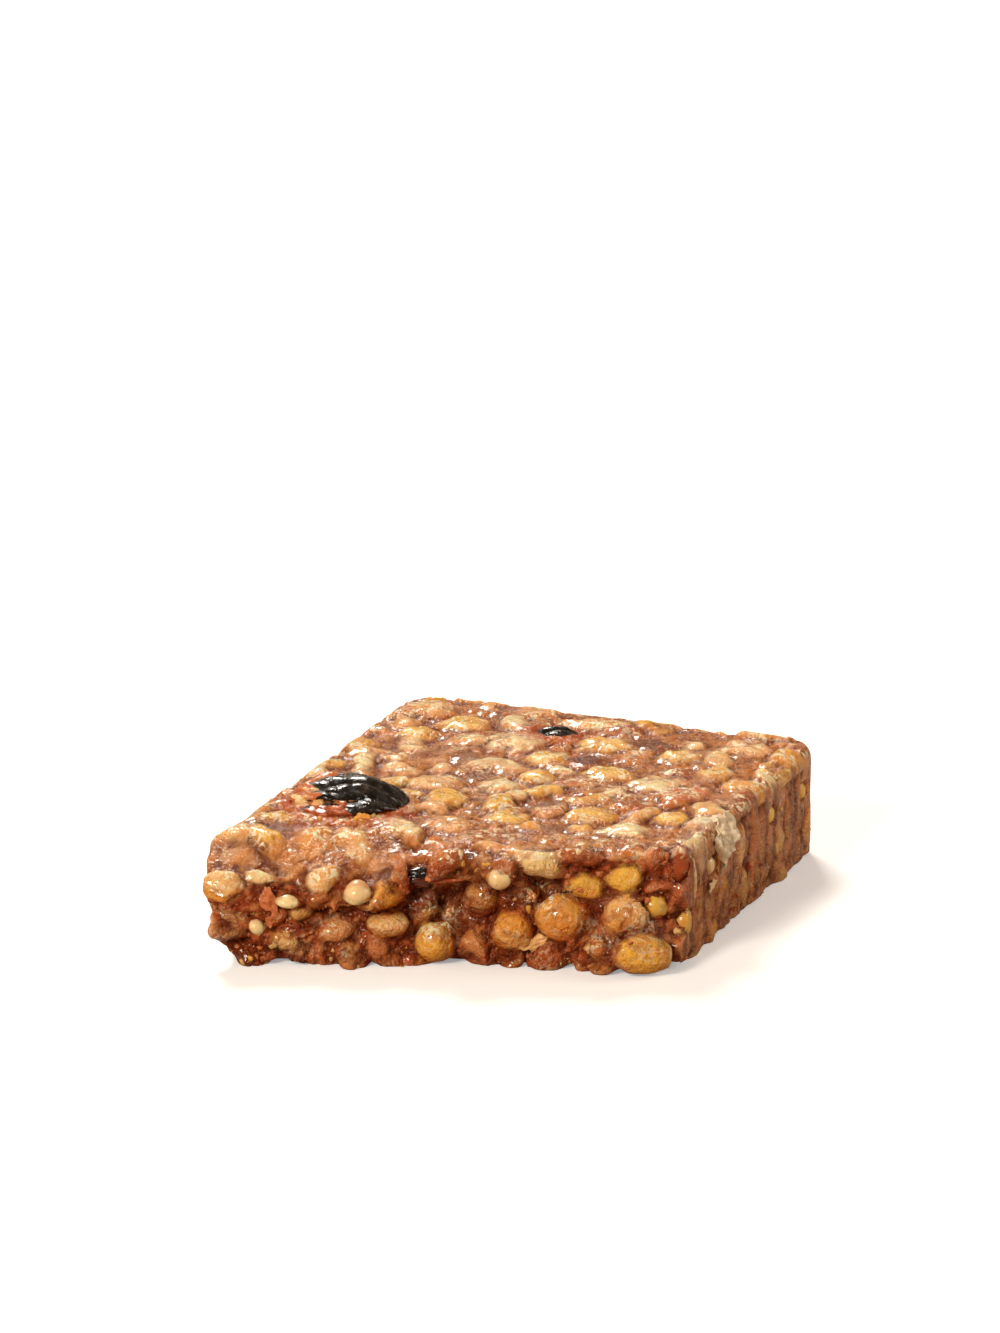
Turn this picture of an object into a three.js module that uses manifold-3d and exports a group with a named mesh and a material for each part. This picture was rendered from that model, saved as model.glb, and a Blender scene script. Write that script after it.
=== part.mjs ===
// Half of a granola bar: puffed grains, rice crisps, millet and flax seeds pressed into date paste, with
// pieces of dark dried fruit. Millimetres, +Z up. It lies on its pressed underside. The two long sides were
// cut by a knife and run along Y, the square cut end is at +Y, and the end at -Y was snapped off at a slant.
import * as THREE from 'three';
import { mergeVertices } from 'three/addons/utils/BufferGeometryUtils.js';
import Module from 'manifold-3d';

// Driving dimensions of the bar, over its grains.
const BAR_WIDTH = 39.5;
const LEFT_LENGTH = 49.5; // the cut side at -X; the slanted snap leaves the other side shorter
const RIGHT_LENGTH = 33.5;
const BAR_HEIGHT = 10.6;
const TOP_RELIEF = 0.75; // how far the paste lies below the pressed tops of the grains
const SIDE_RELIEF = 0.3; // the same on the knife-cut sides and end
const EDGE_RADIUS = 1.6;

// The slab of paste that carries the grains.
const PASTE_HALF_WIDTH = BAR_WIDTH / 2 - SIDE_RELIEF;
const PASTE_BACK = LEFT_LENGTH / 2 - SIDE_RELIEF;
const PASTE_TOP = BAR_HEIGHT - TOP_RELIEF;
const ACROSS_CELLS = 14;
const ALONG_CELLS = 14;
const HEIGHT_CELLS = 7;
const EDGE_CELLS = 2; // lattice cells that share each rounded edge

// The snapped end: a line from the front left corner to the front right one.
const SNAP_LINE = new THREE.Vector3(BAR_WIDTH, LEFT_LENGTH - RIGHT_LENGTH, 0);
const SNAP_LENGTH = SNAP_LINE.length();
const SNAP_ALONG = SNAP_LINE.clone().normalize();
const SNAP_OUT = new THREE.Vector3(SNAP_ALONG.y, -SNAP_ALONG.x, 0);
const SNAP_REACH = 0.5; // the share of the half length over which its hollows and bulges fade out
// Two crossed waves all over it: how deep, and their turns for each mm along and up.
const SNAP_WAVE = { depth: 0.3, rising: [1.3, 0.5], falling: [-0.4, 0.9] };

// Hollows and bulges of the snapped end: mm along it, height, half length, half height and how far out.
const SNAP_FORMS = [
  { name: 'low left chip', along: 2.0, height: 1.0, reach: 4.0, rise: 3.0, out: -1.4 },
  { name: 'left hollow', along: 12.5, height: 5.2, reach: 3.0, rise: 2.0, out: -1.8 },
  { name: 'deep hollow', along: 21.5, height: 5.2, reach: 3.2, rise: 2.4, out: -3.0 },
  { name: 'hollow under the lip', along: 30.0, height: 6.8, reach: 2.8, rise: 1.3, out: -2.2 },
  { name: 'lip', along: 26.0, height: 9.6, reach: 6.0, rise: 1.3, out: 0.9 },
  { name: 'low right bulge', along: 36.2, height: 1.2, reach: 5.2, rise: 3.3, out: 2.9 },
];
const CHIP_DEPTH = 1.3; // the front left corner leans in by this much at its foot
const CHIP_REACH = 6;

// Grains: half sizes along, across and through, in mm, and the sides and rings of their faceted solids.
const GRAINS = {
  puff: { size: [2.2, 1.8, 1.6], sides: 6, rings: 5 },
  crisp: { size: [2.6, 1.35, 1.2], sides: 6, rings: 4 },
  millet: { size: [1.1, 1.05, 1.05], sides: 6, rings: 4 },
  flax: { size: [2.1, 1.05, 0.55], sides: 6, rings: 4 },
};

// Grains that stand out on top: place, half length, half width, turn in degrees and height above the paste.
const TOP_GRAINS = [
  { kind: 'puff', x: -7.2, y: 23.2, long: 2.8, wide: 2.4, turn: 22, proud: 0.7 },
  { kind: 'puff', x: -11.6, y: 17.3, long: 2.5, wide: 2.4, turn: 10, proud: 0.75 },
  { kind: 'puff', x: -14.4, y: 13.2, long: 2.3, wide: 2.1, turn: 60, proud: 0.6 },
  { kind: 'crisp', x: -5.7, y: 14.0, long: 3.0, wide: 2.6, turn: 20, proud: 0.75 },
  { kind: 'crisp', x: -0.4, y: 21.4, long: 3.4, wide: 1.6, turn: 10, proud: 0.7 },
  { kind: 'puff', x: 2.4, y: 16.6, long: 3.0, wide: 2.2, turn: 16, proud: 0.7 },
  { kind: 'puff', x: -0.9, y: 10.8, long: 2.2, wide: 2.2, turn: 30, proud: 0.7 },
  { kind: 'puff', x: 5.4, y: 8.4, long: 2.8, wide: 2.3, turn: 14, proud: 0.75 },
  { kind: 'puff', x: 9.8, y: 15.6, long: 2.7, wide: 2.1, turn: 32, proud: 0.7 },
  { kind: 'crisp', x: 10.6, y: 7.0, long: 2.5, wide: 2.3, turn: 25, proud: 0.75 },
  { kind: 'puff', x: 8.2, y: -2.8, long: 2.5, wide: 2.1, turn: 38, proud: 0.7 },
  { kind: 'puff', x: 1.6, y: -6.0, long: 2.3, wide: 2.4, turn: 20, proud: 0.65 },
  { kind: 'crisp', x: 12.3, y: -5.7, long: 2.5, wide: 2.2, turn: 30, proud: 0.7 },
  { kind: 'puff', x: 15.2, y: -1.2, long: 1.7, wide: 1.6, turn: 0, proud: 0.7 },
  { kind: 'puff', x: 14.1, y: 19.8, long: 2.6, wide: 2.4, turn: 20, proud: 0.65 },
  { kind: 'crisp', x: -4.8, y: 6.9, long: 3.4, wide: 2.1, turn: 8, proud: 0.65 },
  { kind: 'puff', x: -1.9, y: 1.8, long: 2.3, wide: 2.3, turn: 45, proud: 0.7 },
  { kind: 'crisp', x: -7.6, y: 0.6, long: 2.6, wide: 2.3, turn: 15, proud: 0.7 },
  { kind: 'puff', x: -2.2, y: -9.4, long: 2.5, wide: 2.3, turn: 20, proud: 0.65 },
  { kind: 'puff', x: 17.6, y: 9.6, long: 2.3, wide: 1.9, turn: 70, proud: 0.7 },
  { kind: 'crisp', x: -16.2, y: 20.4, long: 2.4, wide: 2.3, turn: 30, proud: 0.65 },
  { kind: 'crisp', x: 18.0, y: -1.4, long: 1.7, wide: 1.3, turn: 60, proud: 0.75 },
  { kind: 'flax', x: 17.4, y: 4.6, long: 1.9, wide: 1.1, turn: 50, proud: 0.5 },
  { kind: 'flax', x: 11.4, y: 11.3, long: 2.2, wide: 1.1, turn: 22, proud: 0.35 },
  { kind: 'flax', x: 11.4, y: 1.0, long: 2.2, wide: 1.1, turn: 15, proud: 0.45 },
  { kind: 'flax', x: 3.0, y: 5.2, long: 2.0, wide: 1.0, turn: 25, proud: 0.4 },
];

// Grains that stand out on the snapped end: mm along it, height, how far out, half sizes and tilt in degrees.
const SNAP_GRAINS = [
  { kind: 'puff', along: 2.6, height: 8.6, out: -1.3, long: 2.1, wide: 2.0, tilt: 0 },
  { kind: 'crisp', along: 6.6, height: 9.3, out: -1.6, long: 2.6, wide: 1.2, tilt: 8 },
  { kind: 'crisp', along: 10.8, height: 9.0, out: -0.9, long: 2.4, wide: 1.3, tilt: 48 },
  { kind: 'millet', along: 14.1, height: 8.6, out: 0.4, long: 1.2, wide: 1.2, tilt: 0 },
  { kind: 'puff', along: 16.0, height: 7.4, out: -0.9, long: 2.5, wide: 1.9, tilt: 10 },
  { kind: 'millet', along: 8.1, height: 7.5, out: 0.3, long: 1.1, wide: 0.85, tilt: -12 },
  { kind: 'millet', along: 5.1, height: 3.8, out: 0.0, long: 1.05, wide: 0.9, tilt: 80 },
  { kind: 'crisp', along: 6.9, height: 5.0, out: -0.4, long: 1.7, wide: 1.0, tilt: 75 },
  { kind: 'puff', along: 9.1, height: 5.4, out: -0.7, long: 1.4, wide: 1.2, tilt: 60 },
  { kind: 'crisp', along: 7.7, height: 2.3, out: -0.6, long: 1.7, wide: 1.3, tilt: -20 },
  { kind: 'puff', along: 12.1, height: 2.9, out: -0.5, long: 1.7, wide: 1.4, tilt: 20 },
  { kind: 'puff', along: 16.7, height: 4.0, out: -0.1, long: 1.8, wide: 1.6, tilt: 0 },
  { kind: 'puff', along: 19.9, height: 5.0, out: -1.7, long: 1.3, wide: 1.2, tilt: 30 },
  { kind: 'puff', along: 20.9, height: 1.9, out: -0.3, long: 1.9, wide: 1.8, tilt: 0 },
  { kind: 'puff', along: 24.8, height: 5.8, out: -0.9, long: 1.6, wide: 1.5, tilt: 60 },
  { kind: 'millet', along: 26.2, height: 8.0, out: 0.9, long: 1.05, wide: 1.0, tilt: 0 },
  { kind: 'puff', along: 27.5, height: 3.1, out: -0.1, long: 2.0, wide: 1.9, tilt: 80 },
  { kind: 'crisp', along: 29.4, height: 9.2, out: -0.3, long: 2.7, wide: 1.3, tilt: -18 },
  { kind: 'puff', along: 34.4, height: 9.0, out: -2.0, long: 1.7, wide: 1.6, tilt: 0 },
  { kind: 'puff', along: 37.0, height: 7.6, out: -0.2, long: 1.8, wide: 1.7, tilt: 0 },
  { kind: 'puff', along: 33.7, height: 6.9, out: -0.4, long: 2.1, wide: 1.5, tilt: -22 },
  { kind: 'puff', along: 31.7, height: 4.4, out: 0.7, long: 2.3, wide: 2.1, tilt: 0 },
  { kind: 'puff', along: 37.0, height: 4.9, out: 1.3, long: 2.1, wide: 1.9, tilt: 20 },
  { kind: 'millet', along: 39.5, height: 5.4, out: 0.6, long: 1.15, wide: 1.1, tilt: 0 },
  { kind: 'puff', along: 38.5, height: 1.8, out: 3.2, long: 2.6, wide: 1.7, tilt: 0 },
  { kind: 'flax', along: 41.6, height: 8.9, out: -0.4, long: 1.9, wide: 0.9, tilt: 80 },
];

// Grains in the knife-cut side at +X: mm from the back, height and half sizes.
const RIGHT_GRAINS = [
  { kind: 'millet', fromBack: 33.0, height: 3.6, long: 1.2, wide: 0.85, tilt: 85 },
  { kind: 'puff', fromBack: 2.4, height: 3.0, long: 2.0, wide: 1.7, tilt: 70 },
  { kind: 'crisp', fromBack: 20.4, height: 6.3, long: 2.2, wide: 1.2, tilt: 75 },
];

// What fills the rest, the largest kinds first: how many are tried for and how far apart they keep.
const FILL_SEED = 62;
const LIST_SEED = 311;
const FILL_COURSES = [
  { kind: 'puff', count: 72, spacing: 0.86 },
  { kind: 'crisp', count: 60, spacing: 0.84 },
  { kind: 'millet', count: 16, spacing: 0.95 },
  { kind: 'flax', count: 10, spacing: 0.9 },
];
const TRIES_PER_GRAIN = 60;
const SIZE_SPREAD = 0.14;
const TOP_PROUD = [0.45, 0.85];
const SIDE_PROUD = [0.15, 0.4];
const SNAP_PROUD = [0.5, 1.3];
const UNEVEN_PRESS = 0.3; // the pressed tops differ in height by up to this much
const LISTED_SHARE = 0.5; // those that are listed above by this share of it
const SIDE_SHARE = 0.4; // and the cut ones by this share
const FOOT_CLEAR = 0.2; // the grains end this far above the flat underside
const SNAP_SINK = 0.95; // the half thickness of a grain of the snapped end, as a share of its half width
const SNAP_THICK = 0.7; // and at least this share of its kind's

// Dark dried fruit: wrinkled lengthwise, in pockets of the bar.
const FRUIT_GAP = 0.3;
const FRUITS = [
  { name: 'fruit_front', x: -12.3, y: -7.7, z: 10.0, half: [5.1, 5.0, 2.3], turn: 4, ridges: 9, sides: 22 },
  { name: 'fruit_back', x: -2.9, y: 17.6, z: 9.6, half: [2.1, 1.5, 1.1], turn: 20, ridges: 5, sides: 12 },
];
const INNER_FRUIT = {
  name: 'fruit_inner',
  along: 19.4,
  height: 7.6,
  out: -0.7,
  half: [1.3, 1.0, 0.8],
  ridges: 4,
  sides: 10,
};
const FRUIT_RIDGE = 0.06;
const FRUIT_OVERLAP = 0.5; // the share of its half size by which a grain may reach over a fruit's end

const BAR_FINISH = { color: 0xb8743c, roughness: 0.45 };
const FRUIT_FINISH = { color: 0x231a1c, roughness: 0.3 };

// The y of the snap line at a place across the bar.
function snapY(x) {
  return -LEFT_LENGTH / 2 + (LEFT_LENGTH - RIGHT_LENGTH) * (x / BAR_WIDTH + 0.5);
}

// How far the snapped end stands out from its line at a place along it and a height.
function snapRelief(along, height) {
  const { depth, rising, falling } = SNAP_WAVE;
  const risen = Math.sin(rising[0] * along + rising[1] * height);
  let out = depth * risen * Math.cos(falling[0] * along + falling[1] * height);
  for (const form of SNAP_FORMS) {
    const a = (along - form.along) / form.reach;
    const h = (height - form.height) / form.rise;
    out += form.out * Math.exp(-(a * a) - h * h);
  }
  return out;
}

// A point of the snapped end, moved out from its line by a distance.
function snapPoint(along, height, out) {
  return new THREE.Vector3(-BAR_WIDTH / 2, -LEFT_LENGTH / 2, height)
    .addScaledVector(SNAP_ALONG, along)
    .addScaledVector(SNAP_OUT, out);
}

// A lattice line's place: the outer cells share the edge radius and the others are even.
function latticePlace(u, cells, half) {
  const line = ((u + 1) / 2) * cells;
  const fromEdge = Math.min(line, cells - line);
  if (fromEdge < EDGE_CELLS) {
    return Math.sign(u) * (half - (EDGE_RADIUS * fromEdge) / EDGE_CELLS);
  }
  const inner = half - EDGE_RADIUS;
  return -inner + (2 * inner * (line - EDGE_CELLS)) / (cells - 2 * EDGE_CELLS);
}

// A point of the paste for a point of a cube's surface: the slab with round edges, its snapped end uneven.
function slabPoint(u, v, w) {
  const x = latticePlace(u, ACROSS_CELLS, PASTE_HALF_WIDTH);
  const halfLength = (PASTE_BACK - snapY(x)) / 2;
  const half = new THREE.Vector3(PASTE_HALF_WIDTH, halfLength, PASTE_TOP / 2);
  const flat = new THREE.Vector3(
    x,
    latticePlace(v, ALONG_CELLS, halfLength),
    latticePlace(w, HEIGHT_CELLS, half.z),
  );
  const inset = half.clone().subScalar(EDGE_RADIUS);
  const inner = flat.clone().clamp(inset.clone().negate(), inset);
  const point = flat.clone().sub(inner).setLength(EDGE_RADIUS).add(inner);
  point.z += half.z;
  point.y += (PASTE_BACK + snapY(point.x)) / 2;

  const along = (point.x + BAR_WIDTH / 2) * (SNAP_LENGTH / BAR_WIDTH);
  const near = THREE.MathUtils.smoothstep(-v, 1 - SNAP_REACH, 1);
  point.addScaledVector(SNAP_OUT, near * snapRelief(along, point.z));

  return leanCorner(point);
}

// The front left corner leans in towards its foot.
function leanCorner(point) {
  const fromCorner = Math.hypot(point.x + PASTE_HALF_WIDTH, point.y + LEFT_LENGTH / 2) / CHIP_REACH;
  point.x += CHIP_DEPTH * (1 - point.z / PASTE_TOP) * Math.exp(-fromCorner * fromCorner);
  return point;
}

function pasteSlab() {
  const geometry = new THREE.BoxGeometry(2, 2, 2, ACROSS_CELLS, ALONG_CELLS, HEIGHT_CELLS);
  return reshaped(geometry, (p) => slabPoint(p.x, p.y, p.z));
}

// A closed copy of a geometry with shared vertices, each moved by a function.
function reshaped(geometry, move) {
  geometry.deleteAttribute('normal');
  geometry.deleteAttribute('uv');
  const merged = mergeVertices(geometry);
  const position = merged.getAttribute('position');
  const point = new THREE.Vector3();
  for (let i = 0; i < position.count; i += 1) {
    const moved = move(point.fromBufferAttribute(position, i));
    position.setXYZ(i, moved.x, moved.y, moved.z);
  }
  return merged;
}

// Even draws between 0 and 1 from a seed, by the mulberry32 rule, the same on every run.
function makeRandom(seed) {
  let state = seed;
  return () => {
    state = (state + 0x6d2b79f5) | 0;
    let t = Math.imul(state ^ (state >>> 15), 1 | state);
    t = (t + Math.imul(t ^ (t >>> 7), 61 | t)) ^ t;
    return ((t ^ (t >>> 14)) >>> 0) / 4294967296;
  };
}

// The faces of the bar that grains show in: a point, the way out and a way along for two shares.
const FACES = [
  {
    name: 'top',
    area: (BAR_WIDTH * (LEFT_LENGTH + RIGHT_LENGTH)) / 2,
    proud: TOP_PROUD,
    at: (a, b) => {
      const x = THREE.MathUtils.lerp(-PASTE_HALF_WIDTH, PASTE_HALF_WIDTH, a);
      const y = THREE.MathUtils.lerp(snapY(x), PASTE_BACK, b);
      return new THREE.Vector3(x, y, PASTE_TOP);
    },
    out: new THREE.Vector3(0, 0, 1),
    along: new THREE.Vector3(1, 0, 0),
  },
  {
    name: 'left',
    area: LEFT_LENGTH * BAR_HEIGHT,
    proud: SIDE_PROUD,
    at: (a, b) =>
      new THREE.Vector3(
        -PASTE_HALF_WIDTH,
        THREE.MathUtils.lerp(snapY(-PASTE_HALF_WIDTH), PASTE_BACK, a),
        b * PASTE_TOP,
      ),
    out: new THREE.Vector3(-1, 0, 0),
    along: new THREE.Vector3(0, -1, 0),
  },
  {
    name: 'right',
    area: RIGHT_LENGTH * BAR_HEIGHT,
    proud: SIDE_PROUD,
    at: (a, b) =>
      new THREE.Vector3(
        PASTE_HALF_WIDTH,
        THREE.MathUtils.lerp(snapY(PASTE_HALF_WIDTH), PASTE_BACK, a),
        b * PASTE_TOP,
      ),
    out: new THREE.Vector3(1, 0, 0),
    along: new THREE.Vector3(0, 1, 0),
  },
  {
    name: 'back',
    area: BAR_WIDTH * BAR_HEIGHT,
    proud: SIDE_PROUD,
    at: (a, b) =>
      new THREE.Vector3(
        THREE.MathUtils.lerp(-PASTE_HALF_WIDTH, PASTE_HALF_WIDTH, a),
        PASTE_BACK,
        b * PASTE_TOP,
      ),
    out: new THREE.Vector3(0, 1, 0),
    along: new THREE.Vector3(-1, 0, 0),
  },
  {
    name: 'snap',
    area: SNAP_LENGTH * BAR_HEIGHT,
    proud: SNAP_PROUD,
    at: (a, b) => {
      const along = a * SNAP_LENGTH;
      const height = b * PASTE_TOP;
      return snapPoint(along, height, snapRelief(along, height));
    },
    out: SNAP_OUT,
    along: SNAP_ALONG,
  },
];
const ALL_AREA = FACES.reduce((sum, face) => sum + face.area, 0);
const FACE = Object.fromEntries(FACES.map((face) => [face.name, face]));

// A grain: its middle, half sizes, the two ways that its length and its thickness point, and how far short
// of the bar's own faces it is pressed and cut.
function grain(kind, middle, size, face, turn, short) {
  const length = face.along.clone().applyAxisAngle(face.out, THREE.MathUtils.degToRad(turn));
  return { kind, middle, size, length, out: face.out, short };
}

function listedGrains() {
  const random = makeRandom(LIST_SEED);
  const short = () => random() * UNEVEN_PRESS * LISTED_SHARE;
  const thick = (kind) => GRAINS[kind].size[2];
  const onTop = TOP_GRAINS.map((g) => {
    const middle = new THREE.Vector3(g.x, g.y, PASTE_TOP + g.proud - thick(g.kind));
    return grain(g.kind, middle, [g.long, g.wide, thick(g.kind)], FACE.top, g.turn, short());
  });
  const onSnap = SNAP_GRAINS.map((g) => {
    const middle = snapPoint(g.along, g.height, g.out);
    const size = [g.long, g.wide, Math.max(g.wide * SNAP_SINK, thick(g.kind) * SNAP_THICK)];
    return grain(g.kind, middle, size, FACE.snap, g.tilt, short());
  });
  const onRight = RIGHT_GRAINS.map((g) => {
    const middle = new THREE.Vector3(PASTE_HALF_WIDTH - g.wide / 2, PASTE_BACK - g.fromBack, g.height);
    return grain(g.kind, middle, [g.long, g.wide, g.wide], FACE.right, g.tilt, short());
  });
  return [...onSnap, ...onTop, ...onRight];
}

function meanHalf(size) {
  return (size[0] + size[1]) / 2;
}

// The rest of the grains: the largest kinds first, over the faces by area, each kept clear of the others.
function fillGrains(placed) {
  const random = makeRandom(FILL_SEED);
  const between = (low, high) => low + (high - low) * random();
  const fruits = FRUITS.map((f) => ({ middle: new THREE.Vector3(f.x, f.y, f.z), reach: f.half[0] }));
  const added = [];
  for (const course of FILL_COURSES) {
    let left = course.count;
    for (let tries = 0; tries < course.count * TRIES_PER_GRAIN && left > 0; tries += 1) {
      let share = random() * ALL_AREA;
      const face = FACES.find((f) => (share -= f.area) < 0) ?? FACES[0];
      const point = leanCorner(face.at(random(), random()));
      const scale = between(1 - SIZE_SPREAD, 1 + SIZE_SPREAD);
      const size = GRAINS[course.kind].size.map((half) => half * scale);
      const proud = between(face.proud[0], face.proud[1]);
      const turn = between(0, 180);
      const short = between(0, UNEVEN_PRESS);
      const middle = point.clone().addScaledVector(face.out, Math.min(proud, size[2]) - size[2]);
      const crowded = [...placed, ...added].some(
        (other) =>
          other.middle.distanceTo(middle) < course.spacing * (meanHalf(size) + meanHalf(other.size)),
      );
      const onFruit = fruits.some(
        (f) => f.middle.distanceTo(middle) < f.reach + meanHalf(size) * FRUIT_OVERLAP,
      );
      if (!crowded && !onFruit) {
        added.push(grain(course.kind, middle, size, face, turn, short));
        left -= 1;
      }
    }
  }
  return added;
}

// A grain's faceted solid, pressed and cut flush with the bar's own faces.
function grainSolid({ kind, middle, size, length, out, short }) {
  const { sides, rings } = GRAINS[kind];
  const sphere = new THREE.SphereGeometry(1, sides, rings).rotateZ(-Math.PI / 2);
  const across = new THREE.Vector3().crossVectors(out, length);
  const place = new THREE.Matrix4().makeBasis(length, across, out).scale(new THREE.Vector3(...size));
  const cut = short * SIDE_SHARE;
  const high = new THREE.Vector3(BAR_WIDTH / 2 - cut, LEFT_LENGTH / 2 - cut, BAR_HEIGHT - short);
  const low = new THREE.Vector3(-high.x, -high.y, FOOT_CLEAR + short);
  return reshaped(sphere, (p) => p.applyMatrix4(place).add(middle).clamp(low, high));
}

// A fruit with ridges along it, grown on every side by a gap for its pocket.
function fruitSolid({ half, ridges, sides }, gap) {
  const sphere = new THREE.SphereGeometry(1, sides, Math.round(sides / 2)).rotateZ(-Math.PI / 2);
  return reshaped(sphere, (p) => {
    const around = Math.atan2(p.z, p.y);
    const ridge = 1 + FRUIT_RIDGE * Math.cos(ridges * around) * Math.hypot(p.y, p.z);
    return p.set(p.x * (half[0] + gap), p.y * ridge * (half[1] + gap), p.z * ridge * (half[2] + gap));
  });
}

function fruitPlaces() {
  const places = FRUITS.map((fruit) => ({
    fruit,
    position: new THREE.Vector3(fruit.x, fruit.y, fruit.z),
    turn: THREE.MathUtils.degToRad(fruit.turn),
  }));
  const inner = snapPoint(INNER_FRUIT.along, INNER_FRUIT.height, INNER_FRUIT.out);
  const slant = Math.atan2(SNAP_ALONG.y, SNAP_ALONG.x);
  return [...places, { fruit: INNER_FRUIT, position: inner, turn: slant }];
}

const JOIN_TOLERANCE = 0.01; // edges shorter than this close up where solids are joined
const wasm = await Module();
wasm.setup();

function toManifold(geometry) {
  return new wasm.Manifold(
    new wasm.Mesh({
      numProp: 3,
      vertProperties: Float32Array.from(geometry.getAttribute('position').array),
      triVerts: Uint32Array.from(geometry.index.array),
      tolerance: JOIN_TOLERANCE,
    }),
  );
}

function toGeometry(solid) {
  const { vertProperties, triVerts } = solid.getMesh();
  const geometry = new THREE.BufferGeometry();
  geometry.setAttribute('position', new THREE.BufferAttribute(vertProperties, 3));
  geometry.setIndex(new THREE.BufferAttribute(triVerts, 1));
  return geometry;
}

function makeMesh(name, geometry, finish) {
  const mesh = new THREE.Mesh(geometry, new THREE.MeshStandardMaterial({ ...finish, metalness: 0 }));
  mesh.name = name;
  return mesh;
}

// The bar: paste and grains fused into one solid, less the pockets that hold the fruit.
function makeBar() {
  const listed = listedGrains();
  let solid = toManifold(pasteSlab());
  for (const each of [...listed, ...fillGrains(listed)]) {
    solid = solid.add(toManifold(grainSolid(each)));
  }
  for (const { fruit, position, turn } of fruitPlaces()) {
    const pocket = fruitSolid(fruit, FRUIT_GAP).rotateZ(turn).translate(...position);
    solid = solid.subtract(toManifold(pocket));
  }
  return makeMesh('bar', toGeometry(solid), BAR_FINISH);
}

function makeFruits() {
  return fruitPlaces().map(({ fruit, position, turn }) => {
    const mesh = makeMesh(fruit.name, fruitSolid(fruit, 0), FRUIT_FINISH);
    mesh.position.copy(position);
    mesh.rotation.z = turn;
    return mesh;
  });
}

const group = new THREE.Group();
group.add(makeBar(), ...makeFruits());
export default group;
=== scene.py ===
"""The looks of half a granola bar: puffed grains, crisps and seeds pressed into date paste.

Sizes are millimetres in the bar's own frame until a mesh is made, and metres in Blender. The grains lie where
the solid bar has them, by the same rule. Most are lumps under a skin of paste that takes on their colour, and
the millet and flax seeds off the top are pieces of their own that come out of it.
"""

from __future__ import annotations

import logging
import math
from dataclasses import dataclass, field
from enum import Enum
from typing import Any, NamedTuple

import bpy
import numpy as np
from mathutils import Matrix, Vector

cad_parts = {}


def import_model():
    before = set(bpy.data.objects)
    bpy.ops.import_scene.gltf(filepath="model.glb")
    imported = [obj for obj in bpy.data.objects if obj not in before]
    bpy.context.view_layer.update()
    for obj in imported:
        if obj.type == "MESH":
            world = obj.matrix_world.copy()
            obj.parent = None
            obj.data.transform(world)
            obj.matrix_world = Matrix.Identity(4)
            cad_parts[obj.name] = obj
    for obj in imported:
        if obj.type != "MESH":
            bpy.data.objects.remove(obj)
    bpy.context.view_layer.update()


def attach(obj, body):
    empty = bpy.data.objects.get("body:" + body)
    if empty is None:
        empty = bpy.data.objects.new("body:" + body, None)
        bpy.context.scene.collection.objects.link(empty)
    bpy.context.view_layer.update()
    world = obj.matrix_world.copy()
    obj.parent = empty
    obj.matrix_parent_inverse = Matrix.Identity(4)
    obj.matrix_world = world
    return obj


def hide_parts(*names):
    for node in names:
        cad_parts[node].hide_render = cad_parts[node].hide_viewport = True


Array = np.ndarray
Span = tuple[float, float]
Triple = tuple[float, float, float]
Colour = Triple
Material, Object = bpy.types.Material, bpy.types.Object
NodeTree, Socket = bpy.types.NodeTree, bpy.types.NodeSocket
LOG = logging.getLogger("granola_bar")
MM = 0.001
UP = np.array([0.0, 0.0, 1.0])


# ---- numbers


def linear(red: int, green: int, blue: int) -> Colour:
    """Turns a screen colour into the linear one that shaders use.

    Args:
        red, green, blue: the colour on the usual scale from 0 to 255.

    Returns:
        The three linear shares: s / 12.92 below 0.04045, else ((s + 0.055) / 1.055) to the power 2.4.
    """
    shares = (channel / 255 for channel in (red, green, blue))
    return tuple(s / 12.92 if s < 0.04045 else ((s + 0.055) / 1.055) ** 2.4 for s in shares)


def smooth_step(values: Array, low: float, high: float) -> Array:
    """0 at low, 1 at high and t * t * (3 - 2 * t) between them; low may be the greater."""
    t = np.clip((values - low) / (high - low), 0, 1)
    return t * t * (3 - 2 * t)


def smooth_max(a: Array, b: Array, blend: float) -> Array:
    """The greater of two, with a fillet where they differ by less than blend."""
    share = np.clip(0.5 + 0.5 * (a - b) / blend, 0, 1)
    return b + (a - b) * share + blend * share * (1 - share) / 2


def soft_cap(values: Array, top: Array | float, blend: float) -> Array:
    """Values pressed flat under a top, round where they meet it."""
    return -smooth_max(-values, -np.asarray(top), blend)


def round_corner(
    a: Array, b: Array, a_end: Array | float, b_end: Array | float, radius: float, blend: float
) -> tuple[Array, Array]:
    """Two distances held inside a corner that is rounded to a radius.

    What lies farther than the radius from inner, the pair held short of the corner by it, is drawn in along
    the line from inner.

    Args:
        a, b: the distances.
        a_end, b_end: where the corner is.
        radius: the corner's radius.
        blend: how softly the distances are held.

    Returns:
        The two distances, held.
    """
    inner_a, inner_b = np.minimum(a, a_end - radius), np.minimum(b, b_end - radius)
    far = np.hypot(a - inner_a, b - inner_b)
    share = soft_cap(far, radius, blend) / np.maximum(far, 1e-9)
    return inner_a + (a - inner_a) * share, inner_b + (b - inner_b) * share


def unit(vectors: Array) -> Array:
    """Vectors scaled to length 1."""
    return vectors / np.linalg.norm(vectors, axis=-1, keepdims=True)


def turned(vectors: Array, axis: Array, degrees: float) -> Array:
    """A vector turned about an axis at right angles to it: v cos a + (axis x v) sin a."""
    angle = math.radians(degrees)
    return vectors * math.cos(angle) + np.cross(axis, vectors) * math.sin(angle)


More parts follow.
